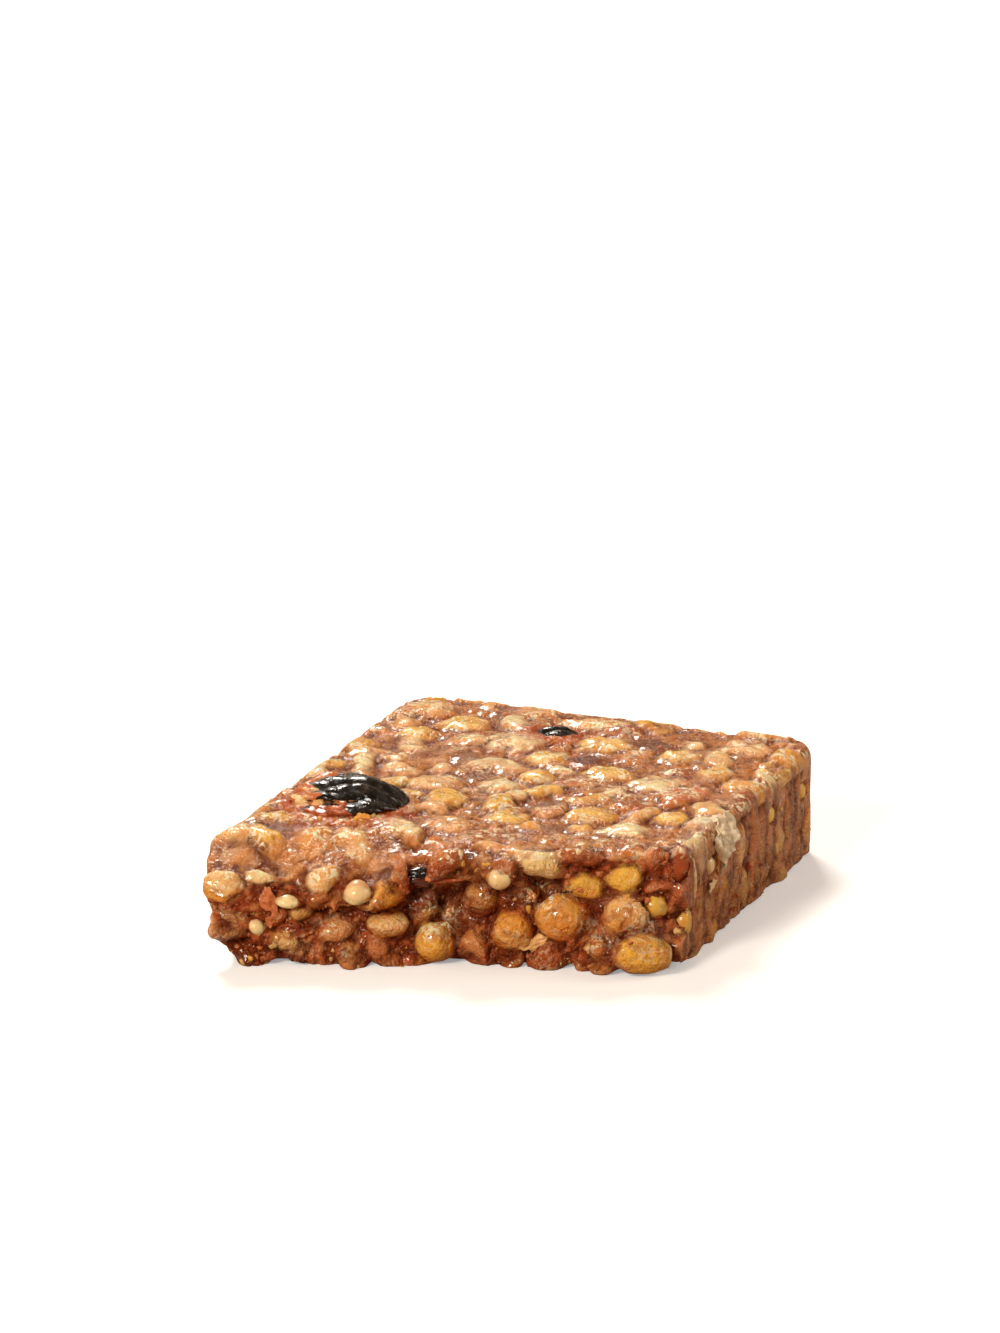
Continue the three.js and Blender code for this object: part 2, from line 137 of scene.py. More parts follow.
@dataclass(frozen=True)
class Noise:
    """Smooth noise from random numbers on a lattice, the same on every run."""

    seed: int
    lattice: int = 32

    def at(self, points: Array, pitch: float | Array) -> Array:
        """Value noise: each lattice corner's number, blended by the cubic fade t * t * (3 - 2 * t).

        Args:
            points: places in mm, one row each.
            pitch: lattice size in mm, one number or one for each axis.

        Returns:
            One number from -1 to 1 for each place.
        """
        table = np.random.default_rng(self.seed).uniform(-1, 1, (self.lattice,) * 3)
        place = points / pitch
        base = np.floor(place).astype(np.int64)
        share = place - base
        fade = share * share * (3 - 2 * share)
        total = np.zeros(len(points))
        for corner in np.ndindex(2, 2, 2):
            index = (base + corner) % self.lattice
            weight = np.where(corner, fade, 1 - fade).prod(-1)
            total += weight * table[index[:, 0], index[:, 1], index[:, 2]]
        return total

    def fractal(self, points: Array, pitch: float | Array, octaves: int) -> Array:
        """Octaves of value noise, each with half the pitch and half the height of the one before.

        Args:
            points: places in mm, one row each.
            pitch: the first octave's lattice size in mm.
            octaves: how many are added up.

        Returns:
            The sum at each place.
        """
        shifts = np.random.default_rng(self.seed + 1).uniform(0, 9, (octaves, 3))
        layers = [
            self.at(points + shift, np.asarray(pitch) / 2**k) / 2**k for k, shift in enumerate(shifts)
        ]
        return sum(layers)

    def warp(self, points: Array, pitch: float, reach: float) -> Array:
        """Points moved by smooth noise of their own on each axis, by up to a reach in mm."""
        moves = [Noise(self.seed + 10 + axis).at(points, pitch) for axis in range(3)]
        return points + reach * np.stack(moves, -1)

    def nearest(self, points: Array, pitch: float) -> Array:
        """Distances to the nearest of seeds strewn one to a lattice cell.

        Args:
            points: places in mm, one row each.
            pitch: the cells' size in mm.

        Returns:
            Each place's distance in pitches, the least over its own cell and the 26 round it.
        """
        seeds = np.random.default_rng(self.seed + 2).uniform(0, 1, (self.lattice,) * 3 + (3,))
        place = points / pitch
        base = np.floor(place).astype(np.int64)
        nearest = np.full(len(points), np.inf)
        for step in np.ndindex(3, 3, 3):
            cell = base + step - 1
            index = cell % self.lattice
            seed = cell + seeds[index[:, 0], index[:, 1], index[:, 2]]
            nearest = np.minimum(nearest, np.linalg.norm(seed - place, axis=1))
        return nearest

    def crumbs(self, points: Array, pitch: float) -> Array:
        """Round crumbs packed side by side: 0.55 less the square of the distance to the nearest seed."""
        return 0.55 - self.nearest(points, pitch) ** 2


class Draws:
    """Even draws between 0 and 1 from a seed, by the mulberry32 rule."""

    WORD = 0xFFFFFFFF

    def __init__(self, seed: int) -> None:
        """Starts the draws at a seed."""
        self.state = seed

    def __call__(self) -> float:
        """The next draw.

        Returns:
            A number from 0 up to 1.
        """
        self.state = (self.state + 0x6D2B79F5) & self.WORD
        t = (self.state ^ (self.state >> 15)) * (1 | self.state) & self.WORD
        t = (t + ((t ^ (t >> 7)) * (61 | t) & self.WORD) & self.WORD) ^ t
        return (t ^ (t >> 14)) / 2**32

    def between(self, low: float, high: float) -> float:
        """The next draw, spread from low to high."""
        return low + (high - low) * self()


# ---- the bar's form


@dataclass(frozen=True)
class SnapForm:
    """A hollow or bulge of the snapped end: mm along it, height, half length, half height, how far out."""

    along: float
    height: float
    reach: float
    rise: float
    out: float


@dataclass(frozen=True)
class BarShape:
    """The bar's driving sizes, the same as the solid's, and what follows from them."""

    width: float = 39.5
    left_length: float = 49.5
    right_length: float = 33.5
    height: float = 10.6
    top_relief: float = 0.75
    side_relief: float = 0.3
    edge_radius: float = 1.6
    edge_cells: float = 2 / 14
    snap_reach: float = 0.5
    snap_wave: float = 0.3
    snap_turns: tuple[float, float, float, float] = (1.3, 0.5, 0.9, 0.4)
    chip_depth: float = 1.3
    chip_reach: float = 6.0
    foot_chip: float = 3.0
    foot_hinge: float = 0.66
    edge_wear: float = 2.3
    wear_front: Span = (-6.0, 1.0)
    wear_along: Span = (24.0, 15.0)
    wear_height: Span = (2.0, 9.8)
    broken_front: Span = (-3.0, 1.5)
    broken_blend: float = 0.3
    side_press: float = 0.4
    press_radius: float = 1.9
    corner_radius: float = 3.4
    snap_forms: tuple[SnapForm, ...] = (
        SnapForm(2.0, 1.0, 4.0, 3.0, -1.4),
        SnapForm(12.5, 5.2, 3.0, 2.0, -1.8),
        SnapForm(21.5, 5.2, 3.2, 2.4, -3.0),
        SnapForm(30.0, 6.8, 2.8, 1.3, -2.2),
        SnapForm(26.0, 9.6, 6.0, 1.3, 0.9),
        SnapForm(36.2, 1.2, 5.2, 3.3, 2.9),
    )

    @property
    def paste_side(self) -> float:
        """How far the paste reaches to each side."""
        return self.width / 2 - self.side_relief

    @property
    def paste_back(self) -> float:
        """How far the paste reaches back."""
        return self.left_length / 2 - self.side_relief

    @property
    def paste_top(self) -> float:
        """How high the paste is."""
        return self.height - self.top_relief

    @property
    def snap_length(self) -> float:
        """The length of the snapped end's line."""
        return math.hypot(self.width, self.left_length - self.right_length)

    @property
    def snap_along(self) -> Array:
        """The way along the snapped end, from the left corner to the right one."""
        return np.array([self.width, self.left_length - self.right_length, 0]) / self.snap_length

    @property
    def snap_out(self) -> Array:
        """The way out of the snapped end."""
        return np.cross(self.snap_along, UP)

    def snap_y(self, x: Array | float) -> Array | float:
        """The y of the snap line at a place across the bar."""
        return -self.left_length / 2 + (self.left_length - self.right_length) * (x / self.width + 0.5)

    def snap_relief(self, along: Array, height: Array) -> Array:
        """How far the snapped end stands out: a low wave plus out * exp(-(da / reach)^2 - (dh / rise)^2).

        Args:
            along: mm along the snap line.
            height: mm above the underside.

        Returns:
            The mm in front of the snap line, below 0 in a hollow.
        """
        a_turn, h_turn, h_cross, a_cross = self.snap_turns
        wave = np.sin(a_turn * along + h_turn * height) * np.cos(h_cross * height - a_cross * along)
        out = self.snap_wave * wave
        for form in self.snap_forms:
            a = (along - form.along) / form.reach
            h = (height - form.height) / form.rise
            out = out + form.out * np.exp(-a * a - h * h)
        return out

    def snap_point(self, along: float, height: float, out: float) -> Array:
        """A point of the snapped end, moved out from its line."""
        corner = np.array([-self.width / 2, -self.left_length / 2, height])
        return corner + self.snap_along * along + self.snap_out * out

    def snap_place(self, points: Array) -> tuple[Array, Array]:
        """How far along the snap line each point is, and how far in front of it."""
        from_corner = points - self.snap_point(0, 0, 0)
        return from_corner @ self.snap_along, from_corner @ self.snap_out

    def lean_corner(self, points: Array, depth: float, hinge: float = 1.0) -> Array:
        """Leans the front left corner in towards its foot by depth * (hinge - z / top) * exp(-r^2).

        Args:
            points: the points in mm.
            depth: how far in the corner's foot goes for each share of its height below the hinge.
            hinge: the share of the paste's height that stays where it is.

        Returns:
            The points, leaned.
        """
        corner = np.array([self.paste_side, self.left_length / 2])
        from_corner = np.linalg.norm(points[..., :2] + corner, axis=-1) / self.chip_reach
        lean = depth * (hinge - points[..., 2] / self.paste_top) * np.exp(-(from_corner**2))
        return points + lean[..., None] * np.array([1.0, 0, 0])

    def slab(self, shares: Array) -> Array:
        """Points of the paste for points of a cube's surface.

        The cube is stretched to the slab, its edges are rounded by moving each point to
        inner + radius * unit(point - inner), where inner is the point held inside the slab less the radius,
        and the half towards the snapped end is moved out by its relief.

        Args:
            shares: places on the surface of a cube from -1 to 1, one row each.

        Returns:
            The points in mm.
        """
        x = shares[:, 0] * self.paste_side
        half = np.column_stack(
            [
                np.full(len(x), self.paste_side),
                (self.paste_back - self.snap_y(x)) / 2,
                np.full(len(x), self.paste_top / 2),
            ]
        )
        flat = shares * half
        inset = half - self.edge_radius
        inner = np.clip(flat, -inset, inset)
        points = inner + self.edge_radius * unit(flat - inner)
        points[:, 2] += half[:, 2]
        points[:, 1] += (self.paste_back + self.snap_y(points[:, 0])) / 2

        along = (points[:, 0] + self.width / 2) * (self.snap_length / self.width)
        near = smooth_step(-self.lattice_share(flat[:, 1], half[:, 1]), 1 - self.snap_reach, 1)
        points += (near * self.snap_relief(along, points[:, 2]))[:, None] * self.snap_out
        return self.lean_corner(points, self.chip_depth)

    def lattice_share(self, place: Array, half: Array) -> Array:
        """A place's share of a lattice whose outer cells are crowded into the edge radius.

        Args:
            place: mm from the middle, below 0 on one side.
            half: half of the lattice's length in mm.

        Returns:
            The shares, from -1 to 1: even over the edge radius, and even again between the two.
        """
        from_end = half - np.abs(place)
        edge = from_end / self.edge_radius * self.edge_cells * 2
        inner = half - self.edge_radius
        middle = 1 - np.abs(place) / inner * (1 - 2 * self.edge_cells)
        return np.sign(place) * (1 - np.where(from_end < self.edge_radius, edge, middle))

    def pressed(
        self, points: Array, short: Array | float, blend: float, worn: Array | float = 1.0
    ) -> Array:
        """Points held under the press and between the knife cuts, whose edges and back corners are rounded.

        Over the left part of the snapped end the top slopes down by up to edge_wear towards its edge.

        Args:
            points: the points in mm.
            short: how many mm short of the press they are held.
            blend: how softly they are held.
            worn: the share of the wear that they take.

        Returns:
            The points, held.
        """
        along, front = self.snap_place(points)
        wear = self.edge_wear * smooth_step(front, *self.wear_front) * smooth_step(along, *self.wear_along)
        top = self.height - short
        z = points[..., 2] - wear * worn * smooth_step(points[..., 2], *self.wear_height)
        side = self.width / 2 - self.side_press * short
        back = self.left_length / 2 - self.side_press * short
        blend = blend + self.broken_blend * smooth_step(front, *self.broken_front)
        radius = self.corner_radius
        x = np.clip(points[..., 0], radius - side, side - radius)
        inner = np.stack([x, np.minimum(points[..., 1], back - radius)], -1)
        past = points[..., :2] - inner
        far = np.linalg.norm(past, axis=-1)
        held, z = round_corner(soft_cap(far, radius, blend), z, radius, top, self.press_radius, blend)
        plan = inner + past * (held / np.maximum(far, 1e-9))[..., None]
        held_in = np.concatenate([plan, np.maximum(z, 0.0)[..., None]], -1)
        return self.lean_corner(held_in, self.foot_chip, self.foot_hinge)


# ---- grains


class Tone(Enum):
    """What a grain or crumb is coloured like, as a linear colour."""

    GOLD = linear(246, 190, 84)
    AMBER = linear(238, 164, 72)
    PALE = linear(250, 216, 160)
    TAN = linear(240, 182, 116)
    PINK = linear(208, 118, 70)
    BROWN = linear(170, 84, 40)
    CREAM = linear(254, 216, 160)
    RUSSET = linear(166, 76, 34)
    CHALK = linear(255, 232, 198)


class Kind(Enum):
    """A grain's kind: half sizes along, across and through, in mm."""

    PUFF = (2.2, 1.8, 1.6)
    CRISP = (2.6, 1.35, 1.2)
    MILLET = (1.1, 1.05, 1.05)
    FLAX = (2.1, 1.05, 0.55)


PUFF, CRISP, MILLET, FLAX = Kind
GOLD, AMBER, PALE, TAN, PINK, BROWN, CREAM, RUSSET, CHALK = Tone


class Face(Enum):
    """A face of the bar that grains show in."""

    TOP = "top"
    LEFT = "left"
    RIGHT = "right"
    BACK = "back"
    SNAP = "snap"
    UNDER = "under"


TOP, LEFT, RIGHT, BACK, SNAP, UNDER = Face


class TopGrain(NamedTuple):
    """A grain that stands out on top: place, half sizes, turn in degrees, height above the paste."""

    kind: Kind
    x: float
    y: float
    long: float
    wide: float
    turn: float
    proud: float
    tone: Tone


class SnapGrain(NamedTuple):
    """A grain that stands out of the snapped end: mm along, height, how far out, half sizes, tilt."""

    kind: Kind
    along: float
    height: float
    out: float
    long: float
    wide: float
    tilt: float
    tone: Tone


class SideGrain(NamedTuple):
    """A grain in the cut side at +X: mm from the back, height, half sizes, tilt."""

    kind: Kind
    from_back: float
    height: float
    long: float
    wide: float
    tilt: float
    tone: Tone


class Course(NamedTuple):
    """One course of filling: how many grains of a kind, how far apart, how big and on which faces."""

    kind: Kind
    count: int
    spacing: float
    low: float
    high: float
    faces: tuple[Face, ...]


@dataclass(frozen=True)
class Grain:
    """One grain: middle, half sizes, the ways that its length and thickness point, and its finish."""

    kind: Kind
    middle: Array
    size: Array
    length: Array
    out: Array
    short: float
    face: Face
    tone: Tone
    listed: bool = False

    @property
    def mean_half(self) -> float:
        """The mean of its half length and half width."""
        return float(self.size[0] + self.size[1]) / 2

    @property
    def is_bare(self) -> bool:
        """True where it shows as a piece of its own, false where it is a lump under the paste."""
        return self.kind in (MILLET, FLAX) and self.face is not TOP

    @property
    def axes(self) -> Array:
        """Its axes as rows, along, across and out, each divided by its half size."""
        ways = np.array([self.length, np.cross(self.out, self.length), self.out])
        return ways / self.size[:, None]


class FacePlan(NamedTuple):
    """A face as the filling rule sees it: area, how proud its grains are, the way out and along."""

    face: Face
    area: float
    proud: Span
    out: Array
    along: Array


def table(form: type[NamedTuple], *rows: tuple) -> tuple:
    """Rows of a table as named tuples of one form."""
    return tuple(form(*row) for row in rows)


TOP_GRAINS = table(
    TopGrain,
    (PUFF, -7.2, 23.2, 2.8, 2.4, 22, 0.7, TAN),
    (PUFF, -11.6, 17.3, 2.5, 2.4, 10, 0.75, GOLD),
    (PUFF, -14.4, 13.2, 2.3, 2.1, 60, 0.6, GOLD),
    (CRISP, -5.7, 14.0, 3.0, 2.6, 20, 0.75, PALE),
    (CRISP, -0.4, 21.4, 3.4, 1.6, 10, 0.7, TAN),
    (PUFF, 2.4, 16.6, 3.0, 2.2, 16, 0.7, GOLD),
    (PUFF, -0.9, 10.8, 2.2, 2.2, 30, 0.7, GOLD),
    (PUFF, 5.4, 8.4, 2.8, 2.3, 14, 0.75, GOLD),
    (PUFF, 9.8, 15.6, 2.7, 2.1, 32, 0.7, GOLD),
    (CRISP, 10.6, 7.0, 2.5, 2.3, 25, 0.75, PALE),
    (PUFF, 8.2, -2.8, 2.5, 2.1, 38, 0.7, GOLD),
    (PUFF, 1.6, -6.0, 2.3, 2.4, 20, 0.65, GOLD),
    (CRISP, 12.3, -5.7, 2.5, 2.2, 30, 0.7, PALE),
    (PUFF, 15.2, -1.2, 1.7, 1.6, 0, 0.7, GOLD),
    (PUFF, 14.1, 19.8, 2.6, 2.4, 20, 0.65, TAN),
    (CRISP, -4.8, 6.9, 3.4, 2.1, 8, 0.65, PALE),
    (PUFF, -1.9, 1.8, 2.3, 2.3, 45, 0.7, PALE),
    (CRISP, -7.6, 0.6, 2.6, 2.3, 15, 0.7, TAN),
    (PUFF, -2.2, -9.4, 2.5, 2.3, 20, 0.65, TAN),
    (PUFF, 17.6, 9.6, 2.3, 1.9, 70, 0.7, AMBER),
    (CRISP, -16.2, 20.4, 2.4, 2.3, 30, 0.65, TAN),
    (CRISP, 18.0, -1.4, 1.7, 1.3, 60, 0.75, CHALK),
    (FLAX, 17.4, 4.6, 1.9, 1.1, 50, 0.5, RUSSET),
    (FLAX, 11.4, 11.3, 2.2, 1.1, 22, 0.35, RUSSET),
    (FLAX, 11.4, 1.0, 2.2, 1.1, 15, 0.45, RUSSET),
    (FLAX, 3.0, 5.2, 2.0, 1.0, 25, 0.4, RUSSET),
)

SNAP_GRAINS = table(
    SnapGrain,
    (PUFF, 2.6, 8.6, -1.3, 2.1, 2.0, 0, AMBER),
    (CRISP, 6.6, 9.3, -1.6, 2.6, 1.2, 8, PALE),
    (CRISP, 10.8, 9.0, -0.9, 2.4, 1.3, 48, TAN),
    (MILLET, 14.1, 8.6, 0.4, 1.2, 1.2, 0, CREAM),
    (PUFF, 16.0, 7.4, -0.9, 2.5, 1.9, 10, AMBER),
    (MILLET, 8.1, 7.5, 0.3, 1.1, 0.85, -12, CREAM),
    (MILLET, 5.1, 3.8, 0.0, 1.05, 0.9, 80, CREAM),
    (CRISP, 6.9, 5.0, -0.4, 1.7, 1.0, 75, PINK),
    (PUFF, 9.1, 5.4, -0.7, 1.4, 1.2, 60, TAN),
    (CRISP, 7.7, 2.3, -0.6, 1.7, 1.3, -20, TAN),
    (PUFF, 12.1, 2.9, -0.5, 1.7, 1.4, 20, PINK),
    (PUFF, 16.7, 4.0, -0.1, 1.8, 1.6, 0, TAN),
    (PUFF, 19.9, 5.0, -1.7, 1.3, 1.2, 30, GOLD),
    (PUFF, 20.9, 1.9, -0.3, 1.9, 1.8, 0, AMBER),
    (PUFF, 24.8, 5.8, -0.9, 1.6, 1.5, 60, AMBER),
    (MILLET, 26.2, 8.0, 0.9, 1.05, 1.0, 0, CREAM),
    (PUFF, 27.5, 3.1, -0.1, 2.0, 1.9, 80, AMBER),
    (CRISP, 29.4, 9.2, -0.3, 2.7, 1.3, -18, PALE),
    (PUFF, 34.4, 9.0, -2.0, 1.7, 1.6, 0, GOLD),
    (PUFF, 37.0, 7.6, -0.2, 1.8, 1.7, 0, GOLD),
    (PUFF, 33.7, 6.9, -0.4, 2.1, 1.5, -22, GOLD),
    (PUFF, 31.7, 4.4, 0.7, 2.3, 2.1, 0, AMBER),
    (PUFF, 37.0, 4.9, 1.3, 2.1, 1.9, 20, TAN),
    (MILLET, 39.5, 5.4, 0.6, 1.15, 1.1, 0, GOLD),
    (PUFF, 38.5, 1.8, 3.2, 2.6, 1.7, 0, GOLD),
    (FLAX, 41.6, 8.9, -0.4, 1.9, 0.9, 80, RUSSET),
)

SIDE_GRAINS = table(
    SideGrain,
    (MILLET, 33.0, 3.6, 1.2, 0.85, 85, GOLD),
    (PUFF, 2.4, 3.0, 2.0, 1.7, 70, AMBER),
    (CRISP, 20.4, 6.3, 2.2, 1.2, 75, TAN),
)

TONES: dict[Kind, dict[Face | None, tuple[tuple[Tone, ...], tuple[float, ...]]]] = {
    PUFF: {
        None: ((GOLD, TAN, AMBER, PALE), (0.45, 0.25, 0.2, 0.1)),
        SNAP: ((AMBER, PINK, TAN), (0.35, 0.4, 0.25)),
    },
    CRISP: {
        None: ((PALE, TAN, PINK, GOLD), (0.35, 0.35, 0.2, 0.1)),
        SNAP: ((PINK, TAN, BROWN), (0.45, 0.3, 0.25)),
    },
    MILLET: {None: ((CREAM, GOLD), (0.7, 0.3))},
    FLAX: {None: ((RUSSET,), (1.0,))},
}


@dataclass(frozen=True)
class FruitPlace:
    """A piece of dried fruit: middle, half sizes, turn in degrees, ridges along it and its mesh's sides."""

    name: str
    middle: Array
    half: Triple
    turn: float
    ridges: int
    sides: int
    on_top: bool = True

    @property
    def basis(self) -> Array:
        """Its axes as rows: along, across and up."""
        along = turned(np.array([1.0, 0, 0]), UP, self.turn)
        return np.array([along, np.cross(UP, along), UP])


@dataclass
class GrainRule:
    """Lays out the grains: the listed ones, the solid's filling by its own rule, then finer ones between."""

    shape: BarShape
    fruits: tuple[FruitPlace, ...]
    list_seed: int = 311
    fill_seed: int = 62
    fine_seed: int = 5
    tries_per_grain: int = 60
    size_spread: float = 0.14
    uneven_press: float = 0.3
    listed_share: float = 0.5
    snap_sink: float = 0.95
    snap_thick: float = 0.7
    fruit_overlap: float = 0.5
    fill_courses: tuple[Course, ...] = (
        Course(PUFF, 72, 0.86, 0.86, 1.14, ()),
        Course(CRISP, 60, 0.84, 0.86, 1.14, ()),
        Course(MILLET, 16, 0.95, 0.86, 1.14, ()),
        Course(FLAX, 10, 0.9, 0.86, 1.14, ()),
    )
    fine_courses: tuple[Course, ...] = (
        Course(PUFF, 60, 0.84, 0.8, 1.15, (UNDER,)),
        Course(CRISP, 60, 0.8, 0.8, 1.1, (UNDER,)),
        Course(PUFF, 16, 0.76, 0.45, 0.75, (SNAP, LEFT, RIGHT, BACK)),
        Course(CRISP, 36, 0.74, 0.4, 0.7, (SNAP, LEFT, RIGHT, BACK)),
        Course(MILLET, 16, 0.8, 0.75, 1.0, (LEFT, RIGHT, BACK, UNDER)),
        Course(FLAX, 10, 0.75, 0.8, 1.0, (RIGHT, LEFT, BACK, UNDER)),
    )
    grains: list[Grain] = field(default_factory=list)

    @property
    def plans(self) -> tuple[FacePlan, ...]:
        """The faces as the filling sees them.

        Returns:
            Their plans in the order in which the filling draws them, with the underside last.
        """
        s = self.shape
        across, back, side = np.array([1.0, 0, 0]), np.array([0, 1.0, 0]), (0.15, 0.4)
        plan_area = s.width * (s.left_length + s.right_length) / 2
        return (
            FacePlan(TOP, plan_area, (0.45, 0.85), UP, across),
            FacePlan(LEFT, s.left_length * s.height, side, -across, -back),
            FacePlan(RIGHT, s.right_length * s.height, side, across, back),
            FacePlan(BACK, s.width * s.height, side, back, -across),
            FacePlan(SNAP, s.snap_length * s.height, (0.5, 1.3), s.snap_out, s.snap_along),
            FacePlan(UNDER, plan_area, (0.0, 0.1), -UP, across),
        )

    def point_on(self, face: Face, a: float, b: float) -> Array:
        """The point of a face at two shares of it.

        Args:
            face: the face.
            a: the share across or along it.
            b: the share back or up.

        Returns:
            The point in mm.
        """
        s = self.shape

        def mix(low: float, high: float, share: float) -> float:
            """From low to high by a share."""
            return (1 - share) * low + share * high

        if face in (TOP, UNDER):
            x = mix(-s.paste_side, s.paste_side, a)
            z = s.paste_top if face is TOP else 0.0
            return np.array([x, mix(s.snap_y(x), s.paste_back, b), z])
        if face in (LEFT, RIGHT):
            x = -s.paste_side if face is LEFT else s.paste_side
            return np.array([x, mix(s.snap_y(x), s.paste_back, a), b * s.paste_top])
        if face is BACK:
            return np.array([mix(-s.paste_side, s.paste_side, a), s.paste_back, b * s.paste_top])
        along, height = a * s.snap_length, b * s.paste_top
        return s.snap_point(along, height, float(s.snap_relief(along, height)))

    def lay_out(self) -> list[Grain]:
        """Lays out all the grains.

        Returns:
            The grains, in the order in which they are laid.
        """
        self.grains = self.listed()
        self.fill(self.fill_courses, Draws(self.fill_seed), self.plans[:-1])
        self.fill(self.fine_courses, Draws(self.fine_seed), self.plans)
        return self.grains

    def listed(self) -> list[Grain]:
        """The grains that stand out, each at its own place.

        Returns:
            Those of the snapped end, the top and the cut side, in that order.
        """
        s = self.shape
        draws = Draws(self.list_seed)
        top, _, right, _, snap, _ = self.plans
        on_top, on_snap, on_right = [], [], []
        for g in TOP_GRAINS:
            thick = g.kind.value[2]
            middle = np.array([g.x, g.y, s.paste_top + g.proud - thick])
            on_top.append(self.one(g, middle, (g.long, g.wide, thick), top, g.turn, draws))
        for g in SNAP_GRAINS:
            thick = max(g.wide * self.snap_sink, g.kind.value[2] * self.snap_thick)
            middle = s.snap_point(g.along, g.height, g.out)
            on_snap.append(self.one(g, middle, (g.long, g.wide, thick), snap, g.tilt, draws))
        for g in SIDE_GRAINS:
            middle = np.array([s.paste_side - g.wide / 2, s.paste_back - g.from_back, g.height])
            on_right.append(self.one(g, middle, (g.long, g.wide, g.wide), right, g.tilt, draws))
        return [*on_snap, *on_top, *on_right]

    def one(
        self,
        row: TopGrain | SnapGrain | SideGrain,
        middle: Array,
        size: Triple,
        plan: FacePlan,
        turn: float,
        draws: Draws,
    ) -> Grain:
        """One listed grain, its press drawn in the solid's order.

        Args:
            row: what it is.
            middle: its middle.
            size: its half sizes.
            plan: the face that it shows in.
            turn: its turn about the way out, in degrees.
            draws: where its press comes from.

        Returns:
            The grain.
        """
        short = draws() * self.uneven_press * self.listed_share
        length = turned(plan.along, plan.out, turn)
        return Grain(row.kind, middle, np.array(size), length, plan.out, short, plan.face, row.tone, True)

    def fill(self, courses: tuple[Course, ...], draws: Draws, plans: tuple[FacePlan, ...]) -> None:
        """Adds courses of grains over the faces by area, each grain clear of the others.

        Args:
            courses: what to lay, the largest kinds first; one without faces lies on all of them.
            draws: where the random numbers come from.
            plans: the faces.
        """
        chance = np.random.default_rng(draws.state)
        for course in courses:
            allowed = [p for p in plans if not course.faces or p.face in course.faces]
            areas = np.cumsum([p.area for p in allowed])
            left = course.count
            for _ in range(course.count * self.tries_per_grain):
                if left == 0:
                    break
                share = draws() * areas[-1]
                plan = allowed[min(int(np.searchsorted(areas, share, side="right")), len(allowed) - 1)]
                a = draws()
                point = self.point_on(plan.face, a, draws())
                point = self.shape.lean_corner(point, self.shape.chip_depth)
                size = np.array(course.kind.value) * draws.between(course.low, course.high)
                proud = draws.between(*plan.proud)
                turn = draws.between(0, 180)
                short = draws.between(0, self.uneven_press)
                middle = point + plan.out * (min(proud, size[2]) - size[2])
                if self.is_free(middle, size, course):
                    tone = self.tone_of(course.kind, plan.face, chance)
                    length = turned(plan.along, plan.out, turn)
                    self.grains.append(
                        Grain(course.kind, middle, size, length, plan.out, short, plan.face, tone)
                    )
                    left -= 1

    def is_free(self, middle: Array, size: Array, course: Course) -> bool:
        """Whether a grain is clear of those already laid and of the fruit on top.

        One whose course names the snapped end keeps off the knife-cut sides too.

        Args:
            middle: its middle.
            size: its half sizes.
            course: the course that it belongs to.

        Returns:
            True where it may lie there.
        """
        mean = (size[0] + size[1]) / 2
        if course.faces and abs(middle[0]) > self.shape.paste_side - mean and SNAP in course.faces:
            return False
        middles = np.array([g.middle for g in self.grains])
        halves = np.array([g.mean_half for g in self.grains])
        if (np.linalg.norm(middles - middle, axis=1) < course.spacing * (mean + halves)).any():
            return False
        return all(
            np.linalg.norm(f.middle - middle) >= f.half[0] + mean * self.fruit_overlap
            for f in self.fruits
            if f.on_top
        )

    def tone_of(self, kind: Kind, face: Face, chance: np.random.Generator) -> Tone:
        """Draws a grain's tone from those of its kind on its face.

        Args:
            kind: its kind.
            face: the face that it shows in.
            chance: where the draw comes from.

        Returns:
            The tone.
        """
        choices = TONES[kind]
        tones, odds = choices.get(face, choices[None])
        return tones[int(chance.choice(len(tones), p=odds))]


# ---- meshes


class Faces(NamedTuple):
    """A mesh's faces as rows of vertex numbers."""

    quads: Array
    triangles: Array


def make_object(
    name: str, points: Array, faces: Faces, attributes: dict[str, Array], material: Material
) -> Object:
    """Makes a smooth mesh object at the origin.

    Args:
        name: the piece's name.
        points: its vertices in mm, one row each.
        faces: its quads and triangles, facing out.
        attributes: a value or a linear colour for each vertex, by name.
        material: its finish.

    Returns:
        The object, linked to the scene.
    """
    mesh = bpy.data.meshes.new(name)
    corners = np.concatenate([faces.quads.ravel(), faces.triangles.ravel()])
    sizes = np.concatenate([np.full(len(faces.quads), 4), np.full(len(faces.triangles), 3)])
    mesh.vertices.add(len(points))
    mesh.vertices.foreach_set("co", (points * MM).astype(np.float32).ravel())
    mesh.loops.add(len(corners))
    mesh.loops.foreach_set("vertex_index", corners.astype(np.int32))
    mesh.polygons.add(len(sizes))
    mesh.polygons.foreach_set("loop_start", (np.cumsum(sizes) - sizes).astype(np.int32))
    mesh.update(calc_edges=True)
    mesh.validate()
    for key, values in attributes.items():
        if values.ndim == 1:
            data = mesh.attributes.new(key, "FLOAT", "POINT").data
            data.foreach_set("value", values.astype(np.float32))
        else:
            data = mesh.attributes.new(key, "FLOAT_COLOR", "POINT").data
            rgba = np.column_stack([values, np.ones(len(values))])
            data.foreach_set("color", rgba.astype(np.float32).ravel())
    mesh.shade_smooth()
    mesh.materials.append(material)
    piece = bpy.data.objects.new(name, mesh)
    bpy.context.scene.collection.objects.link(piece)
    return piece


